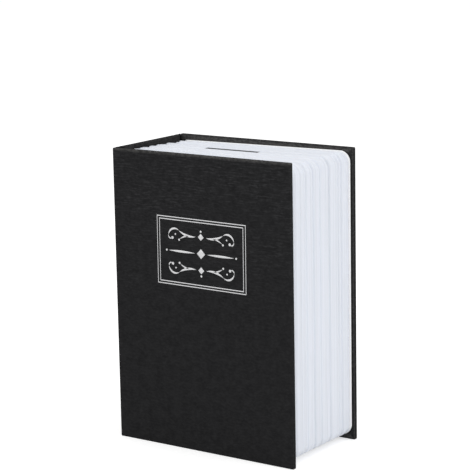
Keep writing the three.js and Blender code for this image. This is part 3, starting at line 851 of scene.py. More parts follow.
    def outwards(self) -> None:
        """Merges what coincides and turns the faces of each closed body outwards."""
        bmesh.ops.remove_doubles(self.bm, verts=self.bm.verts[:], dist=FLAT_EPS)
        bmesh.ops.dissolve_degenerate(self.bm, edges=self.bm.edges[:], dist=FLAT_EPS)
        bmesh.ops.recalc_face_normals(self.bm, faces=self.bm.faces[:])
        left = set(self.bm.verts)
        while left:
            body = chain_of(left.pop())
            left.difference_update(vert for edge in body for vert in edge.verts)
            faces = list({face for edge in body for face in edge.link_faces})
            if sum(face.calc_area() * face.normal.dot(face.calc_center_median()) for face in faces) < 0:
                bmesh.ops.reverse_faces(self.bm, faces=faces)


@dataclass
class Piece:
    """A finished mesh's name, finish and place in the safe."""

    name: str
    finish: Finish
    body: Body
    slot: Slot
    replaces: tuple[str, ...] = ()
    smooth_degrees: float = SHADE_DEGREES
    blend: tuple[Body, Body, Triple, Triple] | None = None
    weighted: bool = True

    def make(self, shaper: Shaper) -> bpy.types.Object:
        """Turns a shaped mesh into a dressed piece that rides on its body.

        Args:
            shaper: The mesh, in millimetres. It is used up.

        Returns:
            The new object.
        """
        bmesh.ops.scale(shaper.bm, vec=(MM, MM, MM), verts=shaper.bm.verts[:])
        mesh = bpy.data.meshes.new(self.name)
        shaper.bm.to_mesh(mesh)
        shaper.bm.free()
        mesh.shade_smooth()
        mesh.set_sharp_from_angle(angle=math.radians(self.smooth_degrees))
        mesh.materials.append(self.finish.material())
        made = bpy.data.objects.new(self.name, mesh)
        bpy.context.scene.collection.objects.link(made)
        if self.weighted:
            normals = made.modifiers.new("Flat faces stay flat", "WEIGHTED_NORMAL")
            normals.keep_sharp = True
        if self.replaces:
            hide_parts(*self.replaces)
        if self.blend is None:
            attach(made, self.body.value)
        else:
            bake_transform(made)
        LOG.info("%s: %d faces, rides on %s", self.name, len(mesh.polygons), self.body.value)
        return made


def map_cloth(shaper: Shaper) -> None:
    """Maps the cloth so that it runs unbroken round the spine: along X and Y, and up Z.

    Args:
        shaper: The cloth, in its place in the safe.
    """
    layer = shaper.bm.loops.layers.uv.new(CLOTH_MAP)
    for face in shaper.bm.faces:
        for corner in face.loops:
            at = corner.vert.co
            corner[layer].uv = ((at.x + at.y) / CLOTH_MAP_SPAN, at.z / CLOTH_MAP_SPAN)


def mark_wear_and_painted_light(shaper: Shaper, low: Vector, high: Vector, turn_in: float, side: float, head: float) -> None:
    """Marks where a panel's cloth is pale: rubbed on its rounded edges, and pressed where it is turned in,
    with a painted highlight of the light from above on the turn-ins at the head and the tail.

    Args:
        shaper: The panel's cloth, in its own frame.
        low: The panel's lowest corner.
        high: Its highest corner.
        turn_in: How far the cloth is turned in at the head and the tail.
        side: How far the cloth is rubbed on its upright edges and at the tail.
        head: How far it is rubbed at the head; past 1, the cloth beside the edge is paler too.
    """
    layer = shaper.bm.loops.layers.float.new(WEAR_AND_LIGHT_LAYER)
    middle_y = (low.y + high.y) / 2
    for face in shaper.bm.faces:
        middle = face.calc_center_median()
        turned_in = abs(middle.y - high.y) < FLAT_EPS
        at_end = not low.z + turn_in < middle.z < high.z - turn_in
        for corner in face.loops:
            at = corner.vert.co
            flush = [abs(at[i] - low[i]) < FLAT_EPS or abs(at[i] - high[i]) < FLAT_EPS for i in range(3)]
            outside = [at[i] < low[i] + RUB_WIDTH or at[i] > high[i] - RUB_WIDTH for i in range(3)]
            share = head if at.z > high.z - RUB_WIDTH else side
            beside = RUB_BESIDE if share > 1 and at.y < middle_y else 0.0
            rubbed = share * (beside if any(flush) else 1.0) if sum(outside) > 1 else 0.0
            # Turn-ins are pressed paler; at the head and the tail they are paler still, a painted highlight of
            # the light from above
            corner[layer] = TURN_IN_WEAR_AND_LIGHT[at_end] if turned_in else rubbed


@dataclass
class CoverPanel:
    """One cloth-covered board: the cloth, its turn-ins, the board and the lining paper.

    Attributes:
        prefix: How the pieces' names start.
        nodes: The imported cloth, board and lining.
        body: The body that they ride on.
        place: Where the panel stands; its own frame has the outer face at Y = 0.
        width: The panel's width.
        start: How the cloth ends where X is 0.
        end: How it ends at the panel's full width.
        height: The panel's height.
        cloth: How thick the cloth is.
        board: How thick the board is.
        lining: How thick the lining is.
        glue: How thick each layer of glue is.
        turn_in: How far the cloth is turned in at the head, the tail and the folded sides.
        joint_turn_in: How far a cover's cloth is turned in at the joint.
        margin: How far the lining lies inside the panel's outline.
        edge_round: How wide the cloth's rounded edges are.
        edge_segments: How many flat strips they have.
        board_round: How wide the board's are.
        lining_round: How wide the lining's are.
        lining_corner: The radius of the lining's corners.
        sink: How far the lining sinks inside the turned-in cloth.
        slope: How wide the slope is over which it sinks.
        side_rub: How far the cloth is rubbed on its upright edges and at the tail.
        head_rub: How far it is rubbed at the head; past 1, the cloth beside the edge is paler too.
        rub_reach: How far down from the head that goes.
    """

    prefix: str
    nodes: tuple[str, str, str]
    body: Body
    place: Matrix
    width: float
    start: Side
    end: Side
    height: float = 115.0
    cloth: float = 0.25
    board: float = 1.5
    lining: float = 0.2
    glue: float = 0.05
    turn_in: float = 10.0
    joint_turn_in: float = 2.6
    margin: float = 2.0
    edge_round: float = 0.45
    edge_segments: int = 4
    board_round: float = 0.12
    lining_round: float = 0.06
    lining_corner: float = 0.6
    sink: float = 0.14
    slope: float = 1.2
    side_rub: float = 1.0
    head_rub: float = 1.0
    rub_reach: float = 1.2

    @property
    def thickness(self) -> float:
        """The thickness of cloth, board and turned-in cloth."""
        return 2 * self.cloth + self.board + 2 * self.glue

    @property
    def is_spine(self) -> bool:
        """Whether the cloth ends the same way on both sides, as it does on the spine alone."""
        return self.start is self.end

    def span(self, inset: float, glued: float) -> Rect:
        """Gives a rectangle inside the panel's outline.

        Args:
            inset: How far in it lies at the head, the tail and the folded sides.
            glued: How far in it lies where the cloth only wraps the board's edge.

        Returns:
            The rectangle's left, right, bottom and top.
        """
        left = inset if self.start is Side.FOLDED else glued
        right = self.width - (inset if self.end is Side.FOLDED else glued)
        return left, right, inset, self.height - inset

    def build(self) -> None:
        """Builds the panel's three pieces."""
        self.build_cloth()
        self.build_board()
        self.build_lining()

    def build_cloth(self) -> None:
        """Wraps the cloth round the board, with a pocket for the board behind its turn-ins."""
        shaper = Shaper()
        pocket = self.cloth + 2 * self.glue + self.board
        whole = (0.0, self.width, 0.0, self.height)
        hollow = (self.cloth, self.width - self.cloth, self.cloth, self.height - self.cloth)
        face = shaper.step(shaper.rectangle(whole, 0.0), whole, self.thickness, keep=True)
        window = self.span(self.turn_in, self.cloth if self.is_spine else self.joint_turn_in)
        face = shaper.step(face, window, self.thickness)
        face = shaper.step(face, window, pocket)
        face = shaper.step(face, hollow, pocket)
        shaper.step(face, hollow, self.cloth)
        shaper.outwards()
        self.soften_cloth(shaper)
        low, high = Vector((0, 0, 0)), Vector((self.width, self.thickness, self.height))
        if self.head_rub > 1:
            geom = [*shaper.bm.verts, *shaper.bm.edges, *shaper.bm.faces]
            bmesh.ops.bisect_plane(
                shaper.bm, geom=geom, plane_co=(0, 0, self.height - self.rub_reach), plane_no=(0, 0, 1)
            )
        mark_wear_and_painted_light(shaper, low, high, 0.0 if self.is_spine else self.turn_in, self.side_rub, self.head_rub)
        shaper.place(self.place)
        map_cloth(shaper)
        piece = Piece(f"{self.prefix}_cloth_wrap", CLOTH, self.body, Slot.CLOTH, (self.nodes[0],))
        piece.make(shaper)

    def soften_cloth(self, shaper: Shaper) -> None:
        """Rounds the cloth over the board's edges and corners.

        Args:
            shaper: The cloth, in the panel's own frame.
        """

        def is_outer(first: Vector, second: Vector) -> bool:
            """Tells whether an edge lies on two of the panel's outer planes.

            Args:
                first: The edge's first end.
                second: Its other end.

            Returns:
                Whether it does.
            """
            planes = 0
            for axis, far in enumerate((self.width, self.thickness, self.height)):
                on_low = abs(first[axis]) < FLAT_EPS and abs(second[axis]) < FLAT_EPS
                on_high = abs(first[axis] - far) < FLAT_EPS and abs(second[axis] - far) < FLAT_EPS
                planes += on_low or on_high
            return planes == 2

        shaper.soften(shaper.edges_where(is_outer), self.edge_round, self.edge_segments)

    def build_board(self) -> None:
        """Builds the board in its pocket."""
        shaper = Shaper()
        gap = self.cloth + self.glue
        rect = (gap, self.width - gap, gap, self.height - gap)
        shaper.step(shaper.rectangle(rect, gap), rect, gap + self.board, keep=True)
        shaper.outwards()
        shaper.soften(shaper.bm.edges[:], self.board_round, 2)
        shaper.place(self.place)
        Piece(f"{self.prefix}_grey_board", BOARD, self.body, Slot.BOARD, (self.nodes[1],)).make(shaper)

    def build_lining(self) -> None:
        """Builds the lining paper, which sinks a little inside the turned-in cloth."""
        shaper = Shaper()
        back = self.thickness + self.glue
        face_y = back + self.lining
        start = self.glue if self.is_spine else self.margin
        outline = (start, self.width - start, self.margin, self.height - self.margin)
        inner = self.span(self.turn_in + self.glue, start + self.lining)
        sunk = tuple(v + s * self.slope for v, s in zip(inner, (1, -1, 1, -1)))
        corners = (self.lining_corner, self.lining_corner)
        sheet = shaper.rounded(shaper.rectangle(outline, back), corners, 3)
        face = shaper.step(sheet, outline, face_y, keep=True)
        face = shaper.step(face, inner, face_y)
        face = shaper.step(face, sunk, face_y - self.sink)
        shaper.outwards()
        shaper.soften(shaper.sharp_edges(FOLD_DEGREES), self.lining_round, 2)
        shaper.place(self.place)
        Piece(f"{self.prefix}_lining_paper", LINING, self.body, Slot.LINING, (self.nodes[2],)).make(shaper)


@dataclass
class ClothJoint:
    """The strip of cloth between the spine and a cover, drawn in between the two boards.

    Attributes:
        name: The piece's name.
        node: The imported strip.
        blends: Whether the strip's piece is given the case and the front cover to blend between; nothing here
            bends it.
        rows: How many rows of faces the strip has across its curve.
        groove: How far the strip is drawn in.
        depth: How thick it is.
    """

    name: str
    node: str
    blends: bool
    rows: int = 16
    groove: float = 0.32
    depth: float = 0.3

    def build(self) -> None:
        """Builds the strip; where it blends, its piece is given the case, the front cover and two points, and
        rides on neither body.
        """
        shaper = Shaper()
        low, high = node_box(self.node)
        middle = (low + high) / 2
        size = Matrix.Diagonal((high.y - low.y, high.z - low.z, 1, 1))
        turn = Matrix.Rotation(math.pi / 2, 4, "Z") @ Matrix.Rotation(math.pi / 2, 4, "X")
        place = Matrix.Translation((low.x, middle.y, middle.z))
        bmesh.ops.create_grid(
            shaper.bm, x_segments=self.rows, y_segments=1, size=0.5, matrix=place @ turn @ size
        )
        for vert in shaper.bm.verts:
            share = (vert.co.y - low.y) / (high.y - low.y)
            vert.co.x += self.groove * math.sin(math.pi * share) ** 2
        shaper.thicken((self.depth, 0, 0))
        shaper.outwards()
        shaper.bm.loops.layers.float.new(WEAR_AND_LIGHT_LAYER)
        map_cloth(shaper)
        piece = Piece(self.name, CLOTH, Body.CASE, Slot.CLOTH, (self.node,))
        if self.blends:
            start = Vector((low.x, high.y, middle.z)) * MM
            end = Vector((low.x, low.y, middle.z)) * MM
            piece.blend = (Body.CASE, Body.FRONT_COVER, tuple(start), tuple(end))
        piece.make(shaper)


@dataclass
class TitlePanel:
    """The foil title panel: two ruled frames, and flourishes where a title would stand.

    Attributes:
        stamped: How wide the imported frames' lines are.
        upright: How wide the upright lines are here.
        level: How wide the level lines are here.
        apart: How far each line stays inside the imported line's edge that is away from the other frame.
        lowered: How far the panel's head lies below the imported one.
        askew: How many degrees the panel is turned on the cover.
        crisp: How wide the foil's rounded rim is.
        spread: How much the flourishes are drawn out.
        scroll: A flourish's strokes: both ends, and how far the two arcs between them rise.
        dots: A flourish's paired dots: the middle and the radius.
        jewel: A flourish's lozenge in the middle: the height and the radius.
        bead: The dot over that lozenge: the height and the radius.
        rule_start: How far from the panel's middle the swelled rule starts.
        rule_rise: How far it swells.
        rule_bead: The dot past its end: how far past, and the radius.
        lozenge_over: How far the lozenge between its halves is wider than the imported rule.
        arc_steps: How many straight pieces each arc has.
        dot_sides: How many sides a dot has.
    """

    stamped: float = 0.45
    upright: float = 0.24
    level: float = 0.35
    apart: float = 0.03
    lowered: float = 0.15
    askew: float = 0.35
    crisp: float = 0.02
    spread: float = 1.22
    scroll: tuple[tuple[Pair, Pair, Pair], ...] = (
        ((1.9, -0.2), (8.4, 1.2), (-1.03, -0.31)),
        ((8.3, 1.14), (12.4, -0.6), (1.6, 1.0)),
        ((12.38, -0.5), (11.0, -1.5), (0.7, 0.32)),
        ((4.4, -0.25), (8.0, -1.5), (0.52, 0.1)),
    )
    dots: tuple[tuple[Pair, float], ...] = (((10.85, -1.3), 0.55), ((8.3, -1.75), 0.42), ((9.7, -0.1), 0.34))
    jewel: Pair = (-0.2, 1.35)
    bead: Pair = (1.95, 0.42)
    rule_start: float = 2.7
    rule_rise: float = 0.42
    rule_bead: Pair = (0.9, 0.4)
    lozenge_over: float = 0.3
    arc_steps: int = 12
    dot_sides: int = 20

    def build(self) -> None:
        """Builds the frames and the flourishes."""
        self.build_frame("title_frame_outer", self.apart, self.apart)
        inward = self.stamped - self.apart
        self.build_frame("title_frame_inner", inward - self.upright, inward - self.level)
        self.build_flourish("title_rule_top", 1.0)
        self.build_flourish("title_rule_bottom", -1.0)
        self.build_middle()

    def build_frame(self, node: str, side: float, end: float) -> None:
        """Builds one ruled frame.

        Args:
            node: The frame's node.
            side: How far the upright lines lie inside the node's outline.
            end: How far the level lines lie inside it.
        """
        shaper = Shaper()
        low, high = node_box(node)
        top = high.z - self.lowered
        rect, inner = (
            (low.x + left, high.x - left, low.z + up, top - up)
            for left, up in ((side, end), (side + self.upright, end + self.level))
        )
        face = shaper.step(shaper.rectangle(rect, high.y), inner, high.y)
        bmesh.ops.delete(shaper.bm, geom=[face], context="FACES_ONLY")
        self.stamp(shaper, low.y - high.y)
        Piece(f"{node}_foil", FOIL, Body.FRONT_COVER, Slot.FOIL, (node,)).make(shaper)

    def stamp(self, shaper: Shaper, depth: float) -> None:
        """Gives flat foil its thickness, the panel's slight turn on the cover and a rounded rim.

        Args:
            shaper: The mesh with the flat foil.
            depth: How far the foil's face lies from its back, along Y.
        """
        shaper.thicken((0, depth, 0))
        low, high = node_box("title_frame_outer")
        turn = Matrix.Rotation(math.radians(self.askew), 3, "Y")
        bmesh.ops.rotate(shaper.bm, cent=(low + high) / 2, matrix=turn, verts=shaper.bm.verts[:])
        shaper.outwards()
        shaper.soften(shaper.sharp_edges(FOLD_DEGREES), self.crisp, 1)

    def crescent(self, shaper: Shaper, start: Vector, end: Vector, rise: Pair, y: float) -> None:
        """Adds a stroke that swells between two arcs with the same ends.

        Args:
            shaper: The mesh that the stroke is added to.
            start: The stroke's first end, in X and Z.
            end: Its other end.
            rise: How far each arc rises from the straight line between the ends.
            y: How far back the stroke lies.
        """
        chains = []
        for height in rise:
            half = (end - start) / 2
            normal = Vector((-half.y, half.x)).normalized()
            radius = (half.length_squared + height * height) / (2 * height)
            centre = start + half + normal * (height - radius)
            sweep = 2 * math.asin(min(1.0, half.length / abs(radius)))
            vert = bmesh.ops.create_vert(shaper.bm, co=(start.x, y, start.y))["vert"][0]
            bmesh.ops.spin(
                shaper.bm, geom=[vert], cent=(centre.x, y, centre.y), axis=(0, 1, 0), dvec=(0, 0, 0),
                angle=math.copysign(sweep, height), steps=self.arc_steps, use_merge=False,
            )
            chains.append(vert)
        edges = [e for vert in chains for e in chain_of(vert)]
        bmesh.ops.bridge_loops(shaper.bm, edges=edges)

    def dot(self, shaper: Shaper, centre: Vector, radius: float, y: float, sides: int) -> None:
        """Adds a flat dot, or a lozenge when it has four sides."""
        place = Matrix.Translation((centre.x, y, centre.y)) @ Matrix.Rotation(math.pi / 2, 4, "X")
        bmesh.ops.create_circle(shaper.bm, cap_ends=True, radius=radius, segments=sides, matrix=place)

    def build_flourish(self, node: str, way: float) -> None:
        """Builds a flourish of swelling strokes and dots.

        Args:
            node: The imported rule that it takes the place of.
            way: 1 for the flourish above the middle rule, -1 for the one below it.
        """
        shaper = Shaper()
        low, high = node_box(node)
        centre = Vector(((low.x + high.x) / 2, (low.z + high.z) / 2))
        y = high.y
        for hand in (-1.0, 1.0):

            def at(x: float, z: float) -> Vector:
                """Gives a point of the flourish on this hand."""
                return centre + Vector((hand * x * self.spread, way * z * self.spread))

            turn = hand * way * self.spread
            for start, end, (outer, inner) in self.scroll:
                self.crescent(shaper, at(*start), at(*end), (turn * outer, turn * inner), y)
            for place, radius in self.dots:
                self.dot(shaper, at(*place), radius, y, self.dot_sides)
        for (height, radius), sides in ((self.jewel, 4), (self.bead, self.dot_sides)):
            self.dot(shaper, centre + Vector((0, height * way)), radius, y, sides)
        self.stamp(shaper, low.y - high.y)
        name = node.replace("rule", "flourish")
        Piece(name, FOIL, Body.FRONT_COVER, Slot.FOIL, (node,), weighted=False).make(shaper)

    def build_middle(self) -> None:
        """Builds the swelled rule through the middle, round its lozenge."""
        shaper = Shaper()
        low, high = node_box("title_rule_middle")
        centre = Vector(((low.x + high.x) / 2, (low.z + high.z) / 2))
        past, radius = self.rule_bead
        for hand in (-1.0, 1.0):
            first = centre + Vector((hand * self.rule_start, 0))
            last = centre + Vector((hand * (high.x - low.x) / 2, 0))
            self.crescent(shaper, first, last, (self.rule_rise, -self.rule_rise), high.y)
            self.dot(shaper, last + Vector((hand * past, 0)), radius, high.y, self.dot_sides)
        self.dot(shaper, centre, (high.z - low.z) / 2 + self.lozenge_over, high.y, 4)
        self.stamp(shaper, low.y - high.y)
        name, node = "title_swelled_rule", "title_rule_middle"
        Piece(name, FOIL, Body.FRONT_COVER, Slot.FOIL, (node,), weighted=False).make(shaper)


def chain_of(vert: bmesh.types.BMVert) -> set[bmesh.types.BMEdge]:
    """Gives every edge that is joined to a vertex.

    Args:
        vert: The vertex.

    Returns:
        The edges, however many others lie between.
    """
    found: set[bmesh.types.BMEdge] = set()
    waiting = [vert]
    while waiting:
        for edge in waiting.pop().link_edges:
            if edge not in found:
                found.add(edge)
                waiting.extend(edge.verts)
    return found


@dataclass
class PageBlock:
    """The moulded block of pages, in rounded signatures round the tray.

    Attributes:
        shares: How thick each signature is, front to back, as a share of the block.
        groove_depths: How deep the groove at each end of a signature is.
        groove_reaches: How far from it each groove rounds the signatures beside it.
        groove_steps: Where the rounding is drawn, as a share of that reach.
        groove_power: How quickly the rounding rises.
        creases: Where the finer creases lie, as a share of each signature's thickness.
        crease_depth: How deep a crease is.
        crease_width: How far from it a crease reaches on each side.
        crease_steps: Where it is drawn, as a share of that width.
        crease_power: How quickly it rises.
        spine_notches: The gaps at the spine: depth in the book, how far in, how wide, how far down.
        notch_power: How quickly a gap narrows.
        notched_head: How far from the spine a gap lowers the head.
        fore_radius: The radius of the corners at the fore-edge.
        spine_radius: The radius of those at the spine.
        inner_radius: The radius of the hollow's corners.
        corner_steps: How many straight pieces a corner has.
        signature_steps: How many equal steps a signature is drawn in.
        least_step: The least distance between two outlines.
        wall: How thick the wall round the hollow is.
        gutter_wall: How thick it is at the spine.
        rim: How thick the rim of the mouth is.
        mouth_cover: How far that rim covers the tray's edge.
        slot_middle: The coin slot's middle in X and Y.
        slot_size: Its length and width.
    """

    shares: tuple[float, ...] = (0.249, 0.133, 0.122, 0.168, 0.169, 0.058, 0.101)
    groove_depths: tuple[float, ...] = (1.1, 0.4, 0.62, 0.5, 0.62, 0.36, 0.56, 0.5)
    groove_reaches: tuple[float, ...] = (2.6, 0.9, 0.95, 0.95, 0.95, 0.85, 0.95, 0.8)
    groove_steps: tuple[float, ...] = (0.0, 0.06, 0.13, 0.22, 0.33, 0.47, 0.64, 0.82, 1.0)
    groove_power: float = 2.0
    creases: tuple[tuple[float, ...], ...] = ((0.57, 0.82), (0.56,), (), (0.57,), (0.69,), (), ())
    crease_depth: float = 0.1
    crease_width: float = 0.28
    crease_steps: tuple[float, ...] = (-1.0, -0.5, -0.2, 0.0, 0.2, 0.5, 1.0)
    crease_power: float = 1.5
    spine_notches: tuple[tuple[float, ...], ...] = (
        (-10.99, 1.54, 1.68, 0.15), (-5.24, 1.68, 1.97, 0.17), (-0.21, 1.1, 1.6, 0.1), (5.05, 3.2, 2.8, 0.0),
        (11.3, 3.2, 2.8, 0.35), (14.44, 1.76, 2.08, 0.18), (17.45, 1.4, 1.05, 0.14),
    )
    notch_power: float = 1.4
    notched_head: float = 5.0
    fore_radius: float = 4.3
    spine_radius: float = 0.8
    inner_radius: float = 0.3
    corner_steps: int = 7
    signature_steps: int = 12
    least_step: float = 0.02
    wall: float = 2.6
    gutter_wall: float = 3.6
    rim: float = 1.6
    mouth_cover: float = 0.5
    slot_middle: Pair = (-2.6, 3.1)
    slot_size: Pair = (24.6, 2.8)

    def build(self) -> None:
        """Builds the shell and cuts the coin slot in its head."""
        shaper = Shaper()
        low, high = node_box("page_shell")
        outline = [self.station(low, high, y) for y in self.stations(low.y, high.y)]
        radii = (self.spine_radius, self.fore_radius)
        outer = [shaper.loop(rect, y, radii, self.corner_steps) for rect, y in outline]
        for vert in shaper.bm.verts:
            if vert.co.z > (low.z + high.z) / 2 and vert.co.x < low.x + self.notched_head:
                vert.co.z -= self.notch(vert.co.y)[1]
        lean_head(shaper)
        inner = self.inner_loops(shaper, low, high)
        for loops in (outer, inner):
            for first, second in zip(loops, loops[1:]):
                shaper.bridge(first, second)
        shaper.bridge(outer[0], inner[0])
        shaper.bridge(outer[-1], inner[-1])
        shaper.outwards()
        piece = Piece("page_signatures", PAGES, Body.CASE, Slot.PAGES, ("page_shell",), weighted=False)
        heights = (high.z - self.wall - OVERCUT, high.z + OVERCUT)
        cut_slot(piece.make(shaper), self.slot_middle, self.slot_size, heights)

    def inner_loops(self, shaper: Shaper, low: Vector, high: Vector) -> list[list[bmesh.types.BMEdge]]:
        """Adds the outlines of the mouth in front of the tray and of the hollow round it.

        Args:
            shaper: The mesh that the outlines are added to.
            low: The block's lowest corner.
            high: Its highest corner.

        Returns:
            Each outline's edges, from front to back.
        """
        tray_low, tray_high = node_box("steel_tray")
        cover, wall = self.mouth_cover, self.wall
        mouth = (tray_low.x + cover, tray_high.x - cover, tray_low.z + cover, tray_high.z - cover)
        hollow = (low.x + self.gutter_wall, high.x - wall, low.z + wall, high.z - wall)
        rim_y = low.y + self.rim
        places = [(mouth, low.y), (mouth, rim_y), (hollow, rim_y), (hollow, high.y)]
        radii = (self.inner_radius, self.inner_radius)
        return [shaper.loop(rect, y, radii, self.corner_steps) for rect, y in places]

    def boundaries(self, front: float, back: float) -> list[float]:
        """Gives where the signatures start and end.

        Args:
            front: Where the block starts, along Y.
            back: Where it ends.

        Returns:
            The depths, from the block's front to its back.
        """
        total = sum(self.shares)
        found = [front]
        for share in self.shares:
            found.append(found[-1] + (back - front) * share / total)
        return found

    def crease_places(self, edges: list[float]) -> list[float]:
        """Gives the depths of the finer creases inside the signatures."""
        spans = zip(edges, edges[1:], self.creases)
        return [start + (end - start) * share for start, end, shares in spans for share in shares]

    def stations(self, front: float, back: float) -> list[float]:
        """Gives the depths at which the outline is drawn, closer together near each groove.

        Args:
            front: Where the block starts, along Y.
            back: Where it ends.

        Returns:
            The depths, from front to back.
        """
        edges = self.boundaries(front, back)
        found = set(edges)
        for edge, reach in zip(edges, self.groove_reaches):
            found.update(edge + way * reach * step for step in self.groove_steps for way in (-1, 1))
        found.update(notch[0] for notch in self.spine_notches)
        for place in self.crease_places(edges):
            found.update(place + self.crease_width * step for step in self.crease_steps)
        for start, end in zip(edges, edges[1:]):
            steps = range(self.signature_steps)
            found.update(start + (end - start) * step / self.signature_steps for step in steps)
        kept: list[float] = []
        for y in sorted(y for y in found if front - FLAT_EPS < y < back + FLAT_EPS):
            if not kept or y - kept[-1] > self.least_step:
                kept.append(y)
        return kept[:-1] + [back]

    def notch(self, y: float) -> Pair:
        """Gives how far a gap at the spine moves the pages' edge at one depth.

        Args:
            y: The depth.

        Returns:
            How far in from the spine, and how far down.
        """
        found = []
        for place, depth, wide, drop in self.spine_notches:
            share = max(0.0, 1 - abs(y - place) / wide) ** self.notch_power
            found.append((depth * share, drop * share))
        return max(found)

    def station(self, low: Vector, high: Vector, y: float) -> tuple[Rect, float]:
        """Gives the pages' outline at one depth.

        Args:
            low: The block's lowest corner.
            high: Its highest corner.
            y: The depth.

        Returns:
            The outline's left, right, bottom and top, and the depth again.
        """
        edges = self.boundaries(low.y, high.y)
        gutter = self.notch(y)[0]
        grooves = zip(edges, self.groove_depths, self.groove_reaches)
        power = self.groove_power
        sunk = max(depth * max(0.0, 1 - abs(y - edge) / wide) ** power for edge, depth, wide in grooves)
        for place in self.crease_places(edges):
            share = max(0.0, 1 - abs(y - place) / self.crease_width)
            sunk += self.crease_depth * share ** self.crease_power
        return (low.x + gutter, high.x - sunk, low.z + sunk, high.z - sunk), y


def lean_head(shaper: Shaper) -> None:
    """Twists the pages' head a little: down towards the spine at the back, as on the real block.

    Args:
        shaper: The page block or its rear plate, in its place in the safe.
    """
    low, high = node_box("page_shell")
    for vert in shaper.bm.verts:
        if vert.co.z > (low.z + high.z) / 2:
            depth = (vert.co.y - low.y) / (high.y - low.y)
            vert.co.z += HEAD_LEAN * (vert.co.x - HEAD_LEAN_MIDDLE[0]) * (depth - HEAD_LEAN_MIDDLE[1])


@dataclass
class RearPlate:
    """The plate that closes the pages at the back: a rounded rim behind a narrower neck.

    Attributes:
        neck_inset: How far in from the rim the neck lies.
        neck_at_spine: How many times further in it lies at the spine.
        spine_inset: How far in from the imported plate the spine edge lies.
        rim: How thick the rim is.
        rim_round: The radius of its rounded edges.
        edge_round: How wide the neck's front edge is rounded.
        radii: The radius of the corners at the spine and at the fore-edge.
        corner_steps: How many straight pieces a corner has.
        round_steps: How many flat strips a rounded edge has.
        shade_degrees: The angle past which its shading breaks.
        drill_sides: How many sides a hole has.
        hole_radius: The radius of the rivets' holes.
        seat_radius: The radius of the counterbores.
        seat_depth: How deep those are.
    """

    neck_inset: float = 0.6
    neck_at_spine: float = 1.6
    spine_inset: float = 0.65
    rim: float = PLATE_RIM
    rim_round: float = 0.3
    edge_round: float = 0.1
    radii: Pair = (0.8, 4.3)
    corner_steps: int = 10
    round_steps: int = 4
    shade_degrees: float = 30.0
    drill_sides: int = 40
    hole_radius: float = 1.6
    seat_radius: float = 2.5
    seat_depth: float = 0.9

    def build(self) -> None:
        """Builds the plate, with a counterbored hole for each of the tray's rivets."""
        shaper = Shaper()
        low, high = node_box("page_rear_plate")
        loops = []
        for inset, y in self.profile(low.y, high.y):
            left = low.x + self.spine_inset + inset * (self.neck_at_spine if inset > self.rim_round else 1.0)
            rect = (left, high.x - inset, low.z + inset, high.z - inset)
            radii = (self.radii[0], self.radii[1] - inset)
            loops.append(shaper.loop(rect, y, radii, self.corner_steps))
        lean_head(shaper)
        for first, second in zip(loops, loops[1:]):
            shaper.bridge(first, second)
        for end in (loops[0], loops[-1]):
            bmesh.ops.edgeloop_fill(shaper.bm, edges=end)
        shaper.outwards()
        piece = Piece(
            "pages_rear_plate", PLATE, Body.CASE, Slot.PAGES, ("page_rear_plate",),
            self.shade_degrees, weighted=False,
        )
        plate = piece.make(shaper)
        carve(plate, self.drills(self.hole_radius, low.y - OVERCUT, high.y + OVERCUT))
        carve(plate, self.drills(self.seat_radius, high.y - self.seat_depth, high.y + OVERCUT))
        plate.data.set_sharp_from_angle(angle=math.radians(self.shade_degrees))

    def profile(self, front: float, back: float) -> list[Pair]:
        """Gives how far in the outline lies at each depth.

        Args:
            front: Where the plate starts, along Y.
            back: Where it ends.

        Returns:
            Pairs of how far in and the depth, from front to back.
        """
        rim_front = back - self.rim
        found = [(self.neck_inset + self.edge_round, front), (self.neck_inset, front + self.edge_round)]
        found.append((self.neck_inset, rim_front))
        turns = [math.pi / 2 * step / self.round_steps for step in range(self.round_steps + 1)]
        arc = [(self.rim_round * (1 - math.sin(t)), self.rim_round * (1 - math.cos(t))) for t in turns]
        found += [(inset, rim_front + y) for inset, y in arc]
        found += [(inset, back - y) for inset, y in reversed(arc)]
        return found

    def drills(self, radius: float, start: float, end: float) -> Shaper:
        """Gives a cylinder through each rivet's place.

        Args:
            radius: The cylinders' radius.
            start: Where they start, along Y.
            end: Where they end.

        Returns:
            The mesh with all four.
        """
        shaper = Shaper()
        turn = Matrix.Rotation(math.pi / 2, 4, "X")
        for index in NUMBERS:
            low, high = node_box(f"tray_rivet_{index}")
            middle = (low + high) / 2
            place = Matrix.Translation((middle.x, (start + end) / 2, middle.z))
            bmesh.ops.create_cone(
                shaper.bm, cap_ends=True, segments=self.drill_sides, radius1=radius, radius2=radius,
                depth=end - start, matrix=place @ turn,
            )
        return shaper


def carve(shell: bpy.types.Object, shaper: Shaper) -> None:
    """Cuts closed shapes out of an object.

    Args:
        shell: The object to cut, whose mesh is replaced.
        shaper: The shapes, in millimetres. They are used up.
    """
    bmesh.ops.scale(shaper.bm, vec=(MM, MM, MM), verts=shaper.bm.verts[:])
    mesh = bpy.data.meshes.new("cutter")
    shaper.bm.to_mesh(mesh)
    shaper.bm.free()
    cutter = bpy.data.objects.new("cutter", mesh)
    bpy.context.scene.collection.objects.link(cutter)
    cut = shell.modifiers.new("Cut", "BOOLEAN")
    cut.object, cut.operation, cut.solver = cutter, "DIFFERENCE", "EXACT"
    bpy.context.view_layer.update()
    depsgraph = bpy.context.evaluated_depsgraph_get()
    result = bpy.data.meshes.new_from_object(shell.evaluated_get(depsgraph))
    shell.modifiers.remove(cut)
    shell.data = result
    bpy.data.objects.remove(cutter)


